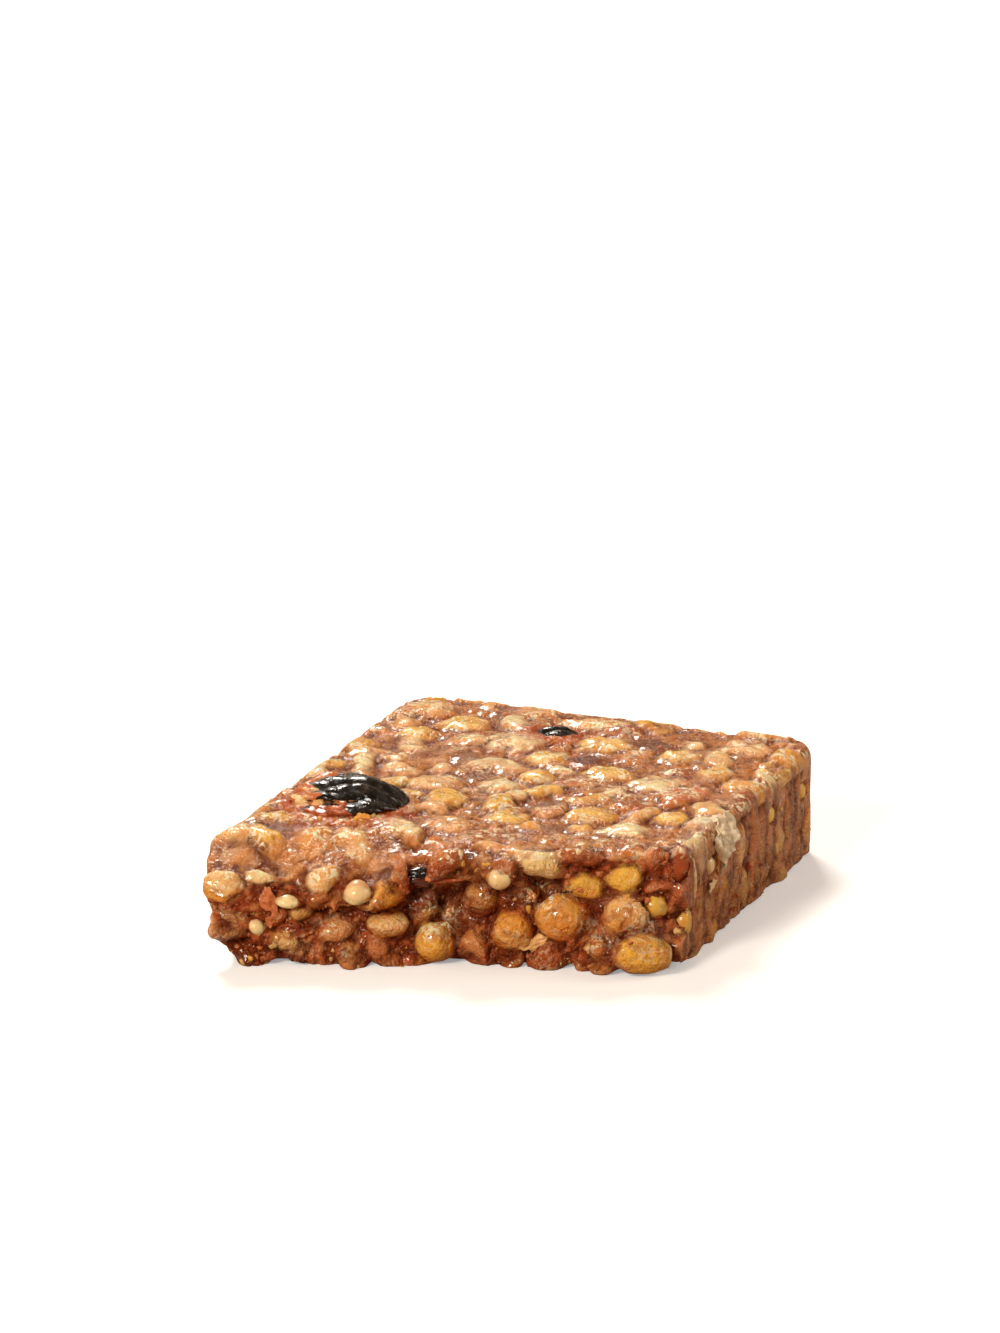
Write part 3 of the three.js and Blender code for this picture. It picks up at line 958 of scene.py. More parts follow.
def ball(sides: int, rings: int) -> tuple[Array, Faces]:
    """A closed unit ball with its poles on the x axis: rings of sides points and one at each pole.

    Args:
        sides: points round each ring.
        rings: bands from pole to pole.

    Returns:
        The points and the faces, facing out.
    """
    polar = np.linspace(0, math.pi, rings + 1)[1:-1]
    around = np.linspace(0, 2 * math.pi, sides, endpoint=False)
    p, a = np.meshgrid(polar, around, indexing="ij")
    rows = np.stack([np.cos(p), np.sin(p) * np.cos(a), np.sin(p) * np.sin(a)], -1).reshape(-1, 3)
    points = np.concatenate([rows, [[1.0, 0, 0], [-1.0, 0, 0]]])
    index = np.arange(len(rows)).reshape(len(polar), sides)
    following = np.roll(index, -1, axis=1)
    quads = np.stack([index[:-1], index[1:], following[1:], following[:-1]], -1).reshape(-1, 4)
    near, far = np.full(sides, len(rows)), np.full(sides, len(rows) + 1)
    caps = [np.stack([near, index[0], following[0]], -1), np.stack([index[-1], far, following[-1]], -1)]
    return points, Faces(quads, np.concatenate(caps))


def repeated(faces: Faces, vertices: int, count: int) -> Faces:
    """The faces of many copies of a form, one after another."""
    steps = np.arange(count)[:, None, None] * vertices
    return Faces((faces.quads + steps).reshape(-1, 4), (faces.triangles + steps).reshape(-1, 3))


def cube_lattice(cells: tuple[int, int, int]) -> tuple[Array, Faces]:
    """The closed surface of a cube from -1 to 1 as a lattice with shared edges.

    Args:
        cells: how many cells the cube has along each axis.

    Returns:
        The points and the quads, facing out.
    """
    shape = tuple(c + 1 for c in cells)
    grid = np.stack(np.meshgrid(*(np.linspace(-1, 1, n) for n in shape), indexing="ij"), -1)
    outside = (np.abs(grid) == 1).any(-1)
    index = np.full(shape, -1)
    index[outside] = np.arange(outside.sum())
    quads = []
    for axis in range(3):
        for end in (0, -1):
            sheet = np.take(index, end, axis=axis)
            ring = np.stack([sheet[:-1, :-1], sheet[1:, :-1], sheet[1:, 1:], sheet[:-1, 1:]], -1)
            faces_out = (end == -1) != (axis == 1)
            quads.append((ring if faces_out else ring[..., ::-1]).reshape(-1, 4))
    return grid[outside], Faces(np.concatenate(quads), np.empty((0, 3), int))


def hollowness(points: Array, normals: Array, quads: Array, passes: int) -> Array:
    """How many mm each vertex lies in from its surroundings.

    Each pass gives every vertex the mean of the quads round it, and a quad the mean of its corners.

    Args:
        points: the vertices.
        normals: the way out at each.
        quads: the faces.
        passes: how often the surface is smoothed.

    Returns:
        The way from each vertex to the smoothed surface, measured outwards: over 0 in a hollow.
    """
    shared = np.bincount(quads.ravel(), minlength=len(points))[:, None]
    smoothed = points
    for _ in range(passes):
        middles = np.repeat(smoothed[quads].mean(1), 4, axis=0)
        sums = [np.bincount(quads.ravel(), middles[:, axis], len(points)) for axis in range(3)]
        smoothed = np.stack(sums, -1) / shared
    return ((smoothed - points) * normals).sum(1)


def vertex_normals(points: Array, quads: Array) -> Array:
    """Vertex normals: the sum of the crossed diagonals of the quads round each vertex, at length 1.

    Args:
        points: the vertices.
        quads: the faces.

    Returns:
        The way out at each vertex.
    """
    corners = points[quads]
    crossed = np.cross(corners[:, 2] - corners[:, 0], corners[:, 3] - corners[:, 1])
    total = np.zeros_like(points)
    for column in quads.T:
        for axis in range(3):
            total[:, axis] += np.bincount(column, crossed[:, axis], len(points))
    return unit(total)


# ---- shader nodes


class Patch(NamedTuple):
    """Patches of noise: the pitch of the lumps in mm, the noise that is 0 and that is 1, and its form."""

    pitch: float
    low: float
    high: float
    detail: float = 2.0
    warp: float = 0.0
    to_low: float = 0.0
    to_high: float = 1.0


class Tree:
    """Adds nodes to a node tree in few words."""

    def __init__(self, tree: NodeTree) -> None:
        """Wraps a tree, emptied."""
        self.tree = tree
        tree.nodes.clear()

    def add(self, kind: str, inputs: dict[str | int, Any] | None = None, **settings: Any) -> bpy.types.Node:
        """Adds a node.

        Args:
            kind: the node's type.
            inputs: by socket name or number, an output to link or a constant.
            settings: the node's own settings.

        Returns:
            The node.
        """
        node = self.tree.nodes.new(kind)
        for key, value in settings.items():
            setattr(node, key, value)
        for key, value in (inputs or {}).items():
            socket = node.inputs[key]
            if isinstance(value, Socket):
                self.tree.links.new(value, socket)
            elif isinstance(value, tuple) and len(value) == 3 and socket.type == "RGBA":
                socket.default_value = (*value, 1.0)
            else:
                socket.default_value = value
        return node

    def math(self, operation: str, *values: Any, clamp: bool = False) -> Socket:
        """The result of a sum of one, two or three values."""
        node = self.add("ShaderNodeMath", dict(enumerate(values)), operation=operation, use_clamp=clamp)
        return node.outputs[0]

    def times(self, a: Any, b: Any) -> Socket:
        """Two values multiplied."""
        return self.math("MULTIPLY", a, b)

    def mix(self, share: Any, a: Any, b: Any, blend: str = "MIX") -> Socket:
        """Two colours mixed by a share.

        Args:
            share: how much of the second one, a number or an output.
            a, b: the colours.
            blend: how they are blended.

        Returns:
            The mixed colour's output.
        """
        node = self.add("ShaderNodeMix", data_type="RGBA", blend_type=blend, clamp_factor=True)
        sockets = (node.inputs["Factor"], *(s for s in node.inputs if s.type == "RGBA"))
        for socket, value in zip(sockets, (share, a, b), strict=True):
            if isinstance(value, Socket):
                self.tree.links.new(value, socket)
            else:
                socket.default_value = (*value, 1.0) if isinstance(value, tuple) else value
        return next(s for s in node.outputs if s.type == "RGBA")

    def span(self, value: Any, low: float, high: float, to_low: float = 0.0, to_high: float = 1.0) -> Any:
        """A value's smooth step from low to high, spread over another range."""
        inputs = {"Value": value, "From Min": low, "From Max": high, "To Min": to_low, "To Max": to_high}
        return self.add("ShaderNodeMapRange", inputs, interpolation_type="SMOOTHSTEP").outputs[0]

    def noise(self, vector: Any, pitch: float, detail: float = 2.0, warp: float = 0.0) -> Any:
        """Noise from 0 to 1 whose lumps are about a pitch in mm."""
        inputs = {"Vector": vector, "Scale": 1 / (pitch * MM), "Detail": detail, "Distortion": warp}
        return self.add("ShaderNodeTexNoise", inputs).outputs[0]

    def patches(self, vector: Any, patch: Patch) -> Socket:
        """Patches of noise, stepped smoothly over the patch's own range."""
        noise = self.noise(vector, patch.pitch, patch.detail, patch.warp)
        return self.span(noise, patch.low, patch.high, patch.to_low, patch.to_high)

    def attribute(self, name: str, is_colour: bool = False) -> Socket:
        """A vertex attribute, as a colour or a number."""
        node = self.add("ShaderNodeAttribute", attribute_name=name)
        return node.outputs["Color" if is_colour else "Fac"]

    def group(self, group: NodeTree, inputs: dict[str, Any]) -> bpy.types.Node:
        """Adds one of the shared groups."""
        return self.add("ShaderNodeGroup", inputs, node_tree=group)


@dataclass(frozen=True)
class Groups:
    """The shader node groups that several finishes share."""

    speckle: NodeTree
    grit: NodeTree


def new_group(name: str, inputs: tuple[str, ...], outputs: tuple[str, ...]) -> tuple[Tree, Any, Any]:
    """Starts a shader node group.

    Args:
        name: its name.
        inputs: its numbers' names, after a vector named Vector.
        outputs: its results' names.

    Returns:
        The tree, the node that brings its inputs and the node that takes its outputs.
    """
    group = bpy.data.node_groups.new(name, "ShaderNodeTree")
    group.interface.new_socket("Vector", in_out="INPUT", socket_type="NodeSocketVector")
    for key in inputs:
        group.interface.new_socket(key, in_out="INPUT", socket_type="NodeSocketFloat")
    for key in outputs:
        group.interface.new_socket(key, in_out="OUTPUT", socket_type="NodeSocketFloat")
    tree = Tree(group)
    return tree, tree.add("NodeGroupInput"), tree.add("NodeGroupOutput")


def speckle_group() -> NodeTree:
    """Small round specks of spice: 1 in the middle of a speck, fading to 0 at its rim.

    A cell of the pattern has a speck where its own random number is under Amount, and the speck fades out
    at the share Radius of the cell.

    Returns:
        The group.
    """
    tree, given, result = new_group("spice_specks", ("Scale", "Amount", "Radius"), ("Mask",))
    inputs = {"Vector": given.outputs["Vector"], "Scale": given.outputs["Scale"]}
    cells = tree.add("ShaderNodeTexVoronoi", inputs)
    share = tree.math("DIVIDE", cells.outputs["Distance"], given.outputs["Radius"])
    inside = tree.span(share, 1.0, 0.3)
    number = tree.add("ShaderNodeSeparateColor", {"Color": cells.outputs["Color"]}).outputs[0]
    chosen = tree.math("LESS_THAN", number, given.outputs["Amount"])
    tree.tree.links.new(tree.times(inside, chosen), result.inputs["Mask"])
    return tree.tree


def grit_group() -> NodeTree:
    """Fine grit: a height and an even mask, from noise at a pitch and at a third of it.

    Returns:
        The group.
    """
    tree, given, result = new_group("fine_grit", ("Scale",), ("Height", "Mask"))
    vector, scale = given.outputs["Vector"], given.outputs["Scale"]
    coarse = tree.add("ShaderNodeTexNoise", {"Vector": vector, "Scale": scale, "Detail": 2.0})
    finer = tree.times(scale, 2.7)
    fine = tree.add("ShaderNodeTexNoise", {"Vector": vector, "Scale": finer, "Detail": 1.0})
    height = tree.math("MULTIPLY_ADD", fine.outputs[0], 0.5, coarse.outputs[0])
    tree.tree.links.new(height, result.inputs["Height"])
    tree.tree.links.new(tree.span(coarse.outputs[0], 0.42, 0.6), result.inputs["Mask"])
    return tree.tree


def new_material(name: str) -> tuple[Material, Tree, Socket]:
    """Starts a material.

    Args:
        name: its name.

    Returns:
        The material, its tree and the place on the object as a vector.
    """
    material = bpy.data.materials.new(name)
    material.use_nodes = True
    tree = Tree(material.node_tree)
    place = tree.add("ShaderNodeTexCoord").outputs["Object"]
    return material, tree, place


def surface(tree: Tree, inputs: dict[str, Any]) -> None:
    """Ends a material with one Principled shader.

    Args:
        tree: the material's tree.
        inputs: what goes into the shader, by socket.
    """
    shader = tree.add("ShaderNodeBsdfPrincipled", inputs)
    output = tree.add("ShaderNodeOutputMaterial")
    tree.tree.links.new(shader.outputs[0], output.inputs["Surface"])


SPECK_PITCH = 0.55
SPECK_FORM = {"Amount": 0.22, "Radius": 0.4}
SPECK_SHARE = 0.4


def with_specks(tree: Tree, place: Any, colour: Any, spice: Colour, groups: Groups) -> Any:
    """A colour with specks of spice on it.

    Args:
        tree: the material's tree.
        place: the place on the object.
        colour: the colour so far.
        spice: the specks' colour.
        groups: the shared node groups.

    Returns:
        The colour with specks.
    """
    values = {"Vector": place, "Scale": 1 / (SPECK_PITCH * MM), **SPECK_FORM}
    mask = tree.group(groups.speckle, values).outputs["Mask"]
    return tree.mix(tree.times(mask, SPECK_SHARE), colour, spice)


@dataclass(frozen=True)
class PasteFinish:
    """Date paste: dark glaze in the creases, partly syrup and partly painted shade, a rosy body, pale crumbs,
    a film over the grains, and painted highlights of pale sugar sparkle.
    """

    groups: Groups
    glaze: Colour = linear(104, 34, 8)
    syrup: Colour = linear(138, 48, 10)
    body: Colour = linear(206, 112, 46)
    honey: Colour = linear(216, 130, 52)
    crumb: Colour = linear(232, 170, 104)
    chip: Colour = linear(204, 108, 56)
    spice: Colour = linear(160, 68, 24)
    cut: Colour = linear(214, 152, 104)
    stain: Colour = linear(176, 64, 4)
    pool: Colour = linear(104, 22, 8)
    # Painted highlight: the near-white of the sugar sparkle painted on crests and high places.
    painted_sparkle: Colour = linear(255, 239, 200)
    soaked: Colour = (0.54, 0.22, 0.1)
    soaked_grain: Colour = (1.0, 0.98, 0.84)
    grit_pitch: float = 0.62
    grit_share: float = 0.45
    fine_pitch: float = 0.3
    fine_share: float = 0.42
    crumb_pitch: float = 0.6
    crumb_odds: Span = (0.5, 0.9)
    crumb_share: float = 0.6
    bump: float = 0.34
    mottle: Patch = Patch(2.0, 0.36, 0.6, 4.0, 0.4)
    streak_squash: float = 0.12
    light_streaks: Patch = Patch(0.8, 0.42, 0.64, 3.0, 0.2)
    light_share: float = 0.6
    dark_streaks: Patch = Patch(1.5, 0.5, 0.38, 4.0, 0.3, to_high=0.65)
    film: Patch = Patch(1.3, 0.34, 0.56, 4.0, 0.3, to_low=0.4)
    snap_film: float = 0.85
    # Painted shade: how far the snapped end's hollows darken towards the glaze.
    hollow_shade_share: float = 0.88
    ragged: Patch = Patch(1.0, 0.34, 0.56, 4.0, 0.4, 0.3, 0.95)
    # Painted highlight: where the sparkle specks fall and how much they show on crests and on top.
    painted_sparkle_spots: Patch = Patch(0.5, 0.48, 0.56, 4.0, 0.8)
    painted_sparkle_clusters: Patch = Patch(2.4, 0.42, 0.56, to_low=0.15)
    painted_sparkle_on_crests: float = 0.3
    painted_sparkle_on_top: float = 0.8
    wet: Patch = Patch(1.6, 0.4, 0.6, 3.0, to_low=0.08, to_high=0.26)
    dull_sides: float = 0.06
    beads: Patch = Patch(0.36, 0.47, 0.54)
    wet_places: Patch = Patch(1.9, 0.38, 0.56, 3.0, to_low=0.1)
    dry_creases: float = -0.6
    pool_coat: float = 0.5
    shine: float = 0.48
    snap_shine: float = -0.16

    def build(self) -> Material:
        """Mixes the finish from the paste's colour, its bump and the syrup over it.

        Returns:
            The material.
        """
        material, tree, place = new_material("date_paste")
        grit = tree.group(self.groups.grit, {"Vector": place, "Scale": 1 / (self.grit_pitch * MM)})
        crumbs = tree.add("ShaderNodeTexVoronoi", {"Vector": place, "Scale": 1 / (self.crumb_pitch * MM)})
        top, snap = tree.attribute("top"), tree.attribute("snap")
        film = tree.math("MAXIMUM", tree.patches(place, self.film), tree.times(snap, self.snap_film))
        cover = tree.times(tree.attribute("cover"), film)
        colour = self.bare_colour(tree, place, grit, crumbs)
        colour = self.grain_colour(tree, place, colour, cover)
        colour = self.syrup_colour(tree, place, colour)

        rough = tree.math("SUBTRACT", 1.0, top)
        rough = tree.math("MULTIPLY_ADD", rough, self.dull_sides, tree.patches(place, self.wet))
        fine = tree.group(self.groups.grit, {"Vector": place, "Scale": 1 / (self.fine_pitch * MM)})
        height = tree.math("MULTIPLY_ADD", fine.outputs["Height"], self.fine_share, grit.outputs["Height"])
        loose = tree.times(snap, tree.math("MULTIPLY_ADD", cover, 0.8, -1.0))
        height = tree.math("MULTIPLY_ADD", crumbs.outputs["Distance"], loose, height)
        bump = tree.add("ShaderNodeBump", {"Height": height, "Distance": self.bump * MM})
        wet = tree.math("MULTIPLY_ADD", tree.attribute("crease"), self.dry_creases, 1.0)
        wet = tree.times(tree.patches(place, self.wet_places), wet)
        beads = tree.times(tree.patches(place, self.beads), wet)
        pools = tree.times(tree.attribute("pool"), self.pool_coat)
        surface(
            tree,
            {
                "Base Color": colour,
                "Roughness": rough,
                "Normal": bump.outputs[0],
                "Specular IOR Level": tree.math("MULTIPLY_ADD", snap, self.snap_shine, self.shine),
                "Specular Tint": (1.0, 0.86, 0.62, 1.0),
                "Coat Weight": tree.math("MAXIMUM", beads, pools),
                "Coat Roughness": 0.1,
                "Subsurface Weight": 0.45,
                "Subsurface Radius": (1.0, 0.4, 0.12),
                "Subsurface Scale": 1.4 * MM,
            },
        )
        return material

    def bare_colour(self, tree: Tree, place: Any, grit: Any, crumbs: Any) -> Socket:
        """The bare paste: mottled, gritty, and soaked with pale chips in it where it broke.

        Args:
            tree: the material's tree.
            place: the place on the object.
            grit, crumbs: the nodes of the grit and of the crumbs' cells.

        Returns:
            The colour.
        """
        top, snap = tree.attribute("top"), tree.attribute("snap")
        dark = tree.mix(top, self.glaze, self.syrup)
        light = tree.mix(top, self.body, self.honey)
        colour = tree.mix(tree.patches(place, self.mottle), dark, light)
        colour = tree.mix(tree.times(grit.outputs["Mask"], self.grit_share), colour, self.crumb)
        number = tree.add("ShaderNodeSeparateColor", {"Color": crumbs.outputs["Color"]}).outputs[0]
        pale = tree.times(tree.span(number, *self.crumb_odds, 0.0, self.crumb_share), snap)
        colour = tree.mix(snap, colour, tree.mix(1.0, colour, self.soaked, "MULTIPLY"))
        return tree.mix(pale, colour, self.chip)

    def grain_colour(self, tree: Tree, place: Any, colour: Any, cover: Any) -> Socket:
        """The grains' colours over the paste's, with painted shade in the snapped end's hollows, and streaked
        upright on the cuts.

        Args:
            tree: the material's tree.
            place: the place on the object.
            colour: the paste's colour.
            cover: how much of a grain shows.

        Returns:
            The colour.
        """
        snap, cut = tree.attribute("snap"), tree.attribute("cut")
        own = tree.attribute("cover_colour", is_colour=True)
        own = tree.mix(snap, own, tree.mix(1.0, own, self.soaked_grain, "MULTIPLY"))
        colour = tree.mix(cover, colour, own)
        # Painted shade: the snapped end's hollows darkened towards the glaze.
        colour = tree.mix(tree.times(tree.attribute("deep"), self.hollow_shade_share), colour, self.glaze)
        squashed = {"Vector": place, "Scale": (1.0, 1.0, self.streak_squash)}
        streaks = tree.add("ShaderNodeMapping", squashed, vector_type="POINT").outputs[0]
        light = tree.times(tree.times(cut, tree.patches(streaks, self.light_streaks)), self.light_share)
        colour = tree.mix(light, colour, self.cut)
        return tree.mix(tree.times(cut, tree.patches(streaks, self.dark_streaks)), colour, self.glaze)

    def syrup_colour(self, tree: Tree, place: Any, colour: Any) -> Socket:
        """A colour with dark creases, partly syrup and partly painted shade, painted highlights of pale
        sparkle on crests and on what is high on top, stains, pools and specks.

        Args:
            tree: the material's tree.
            place: the place on the object.
            colour: the colour so far.

        Returns:
            The colour.
        """
        # Dark glaze in the creases: partly syrup between the grains, partly painted shade in the hollows.
        crease = tree.times(tree.attribute("crease"), tree.patches(place, self.ragged))
        colour = tree.mix(crease, colour, self.glaze)
        # Painted highlight: pale sparkle specks on crests and on the high parts of the top, standing for
        # glints of the wet glaze.
        painted_sparkle = tree.times(tree.patches(place, self.painted_sparkle_spots), tree.patches(place, self.painted_sparkle_clusters))
        raised = tree.times(tree.times(tree.attribute("top"), tree.attribute("high")), self.painted_sparkle_on_top)
        raised = tree.math("MULTIPLY_ADD", tree.attribute("crest"), self.painted_sparkle_on_crests, raised)
        colour = tree.mix(tree.math("MULTIPLY", painted_sparkle, raised, clamp=True), colour, self.painted_sparkle)
        colour = tree.mix(tree.attribute("stain"), colour, self.stain)
        colour = tree.mix(tree.attribute("pool"), colour, self.pool)
        return with_specks(tree, place, colour, self.spice, self.groups)


@dataclass(frozen=True)
class GrainFinish:
    """A grain's own colour, mottled, with paste smeared on its flanks and syrup over it."""

    groups: Groups
    name: str
    roughness: float = 0.45
    subsurface: float = 0.45
    relief: float = 0.12
    mottle: float = 0.4
    smeared: float = 0.85
    specks: bool = True
    coat: float = 0.15
    smear: Colour = linear(186, 92, 40)
    spice: Colour = linear(160, 68, 24)
    shaded: Colour = (0.75, 0.6, 0.45)
    grit_pitch: float = 0.55
    rough_spread: float = 0.16
    patch: Patch = Patch(1.5, 0.38, 0.64, 4.0, 0.3)
    ragged: Patch = Patch(0.9, 0.3, 0.7, 4.0, to_low=-0.5, to_high=0.5)
    film_span: Span = (0.2, 0.9)

    def build(self) -> Material:
        """Mixes the finish from the grain's own colour, the smear of paste and fine grit.

        Returns:
            The material.
        """
        material, tree, place = new_material(self.name)
        grit = tree.group(self.groups.grit, {"Vector": place, "Scale": 1 / (self.grit_pitch * MM)})
        own = tree.attribute("grain_colour", is_colour=True)
        darker = tree.mix(1.0, own, self.shaded, "MULTIPLY")
        colour = tree.mix(tree.times(tree.patches(place, self.patch), self.mottle), own, darker)
        film = tree.math("ADD", tree.attribute("film"), tree.patches(place, self.ragged))
        colour = tree.mix(tree.span(film, *self.film_span, 0.0, self.smeared), colour, self.smear)
        if self.specks:
            colour = with_specks(tree, place, colour, self.spice, self.groups)

        smoothest = self.roughness - self.rough_spread / 2
        rough = tree.math("MULTIPLY_ADD", grit.outputs["Mask"], self.rough_spread, smoothest)
        relief = {"Height": grit.outputs["Height"], "Distance": self.relief * MM}
        bump = tree.add("ShaderNodeBump", relief)
        surface(
            tree,
            {
                "Base Color": colour,
                "Roughness": rough,
                "Normal": bump.outputs[0],
                "Specular IOR Level": 0.3,
                "Coat Weight": self.coat,
                "Coat Roughness": 0.16,
                "Subsurface Weight": self.subsurface,
                "Subsurface Radius": (1.0, 0.5, 0.15),
                "Subsurface Scale": 1.3 * MM,
            },
        )
        return material


@dataclass(frozen=True)
class FruitFinish:
    """Dried fruit: near black and glossy, redder where its skin thins at the rim."""

    groups: Groups
    skin: Colour = linear(16, 12, 11)
    dull: Colour = linear(64, 50, 42)
    flesh: Colour = linear(96, 28, 16)
    grit_pitch: float = 0.5
    relief: float = 0.1
    dull_patches: Patch = Patch(1.4, 0.5, 0.7, 3.0, to_high=0.7)
    rim_patches: Patch = Patch(1.2, 0.3, 0.6)
    roughness: Patch = Patch(0.9, 0.4, 0.65, 3.0, to_low=0.12, to_high=0.4)
    coat: Patch = Patch(0.7, 0.42, 0.56, 3.0)

    def build(self) -> Material:
        """Mixes the finish from a glossy skin, dull patches and the flesh at the rim.

        Returns:
            The material.
        """
        material, tree, place = new_material("dried_fruit_skin")
        grit = tree.group(self.groups.grit, {"Vector": place, "Scale": 1 / (self.grit_pitch * MM)})
        colour = tree.mix(tree.patches(place, self.dull_patches), self.skin, self.dull)
        rim = tree.times(tree.attribute("rim"), tree.patches(place, self.rim_patches))
        colour = tree.mix(rim, colour, self.flesh)
        relief = {"Height": grit.outputs["Height"], "Distance": self.relief * MM}
        bump = tree.add("ShaderNodeBump", relief)
        surface(
            tree,
            {
                "Base Color": colour,
                "Roughness": tree.patches(place, self.roughness),
                "Normal": bump.outputs[0],
                "Specular IOR Level": 0.4,
                "Coat Weight": tree.patches(place, self.coat),
                "Coat Roughness": 0.1,
            },
        )
        return material


# ---- the paste


class Cover(NamedTuple):
    """How the skin of paste lies over a face's grains.

    Where it leaves them as a share of their half sizes, how many mm above them it is, how ragged that is,
    the fillet where it meets what is beside them, how far out it may go, and how many times wider than the
    grain its lump is.
    """

    leave: float
    lift: float
    rag: float
    blend: float
    limit: float
    grown: float = 1.0


COVERS = {
    TOP: Cover(0.88, 0.0, 0.2, 0.55, 2.4, 1.16),
    SNAP: Cover(0.94, 0.0, 0.14, 0.2, 4.2),
    UNDER: Cover(0.97, 0.0, 0.03, 0.3, 1.5),
    **dict.fromkeys((LEFT, RIGHT, BACK), Cover(0.9, 0.0, 0.15, 0.4, 1.5, 1.1)),
}
BARE_COVER = Cover(0.9, -0.12, 0.1, 0.25, 2.0)
LOOSE_COVER = Cover(0.82, -0.1, 0.4, 0.5, 4.2)
# Painted shade: the lower part of each grain in the snapped end is darkened to orange-brown.
SHADED_FOOT = (0.8, 0.5, 0.26)


class Pool(NamedTuple):
    """A patch of clear dark syrup on top: place, half sizes, height over the paste and its strength."""

    x: float
    y: float
    long: float
    wide: float
    level: float
    strength: float


POOLS = table(
    Pool,
    (5.7, 17.6, 2.3, 1.9, 0.45, 0.85),
    (2.2, 11.6, 1.9, 2.0, 0.35, 1.0),
    (-15.9, -15.7, 2.4, 1.3, 0.1, 0.85),
    (3.7, -1.6, 1.5, 2.0, 0.3, 0.85),
    (6.4, -7.4, 1.5, 1.8, 0.3, 0.75),
    (-8.0, 8.9, 1.8, 1.4, 0.3, 0.7),
    (-4.4, 3.2, 1.5, 1.2, 0.3, 0.7),
    (2.0, -15.3, 0.9, 0.9, -0.2, 0.9),
)


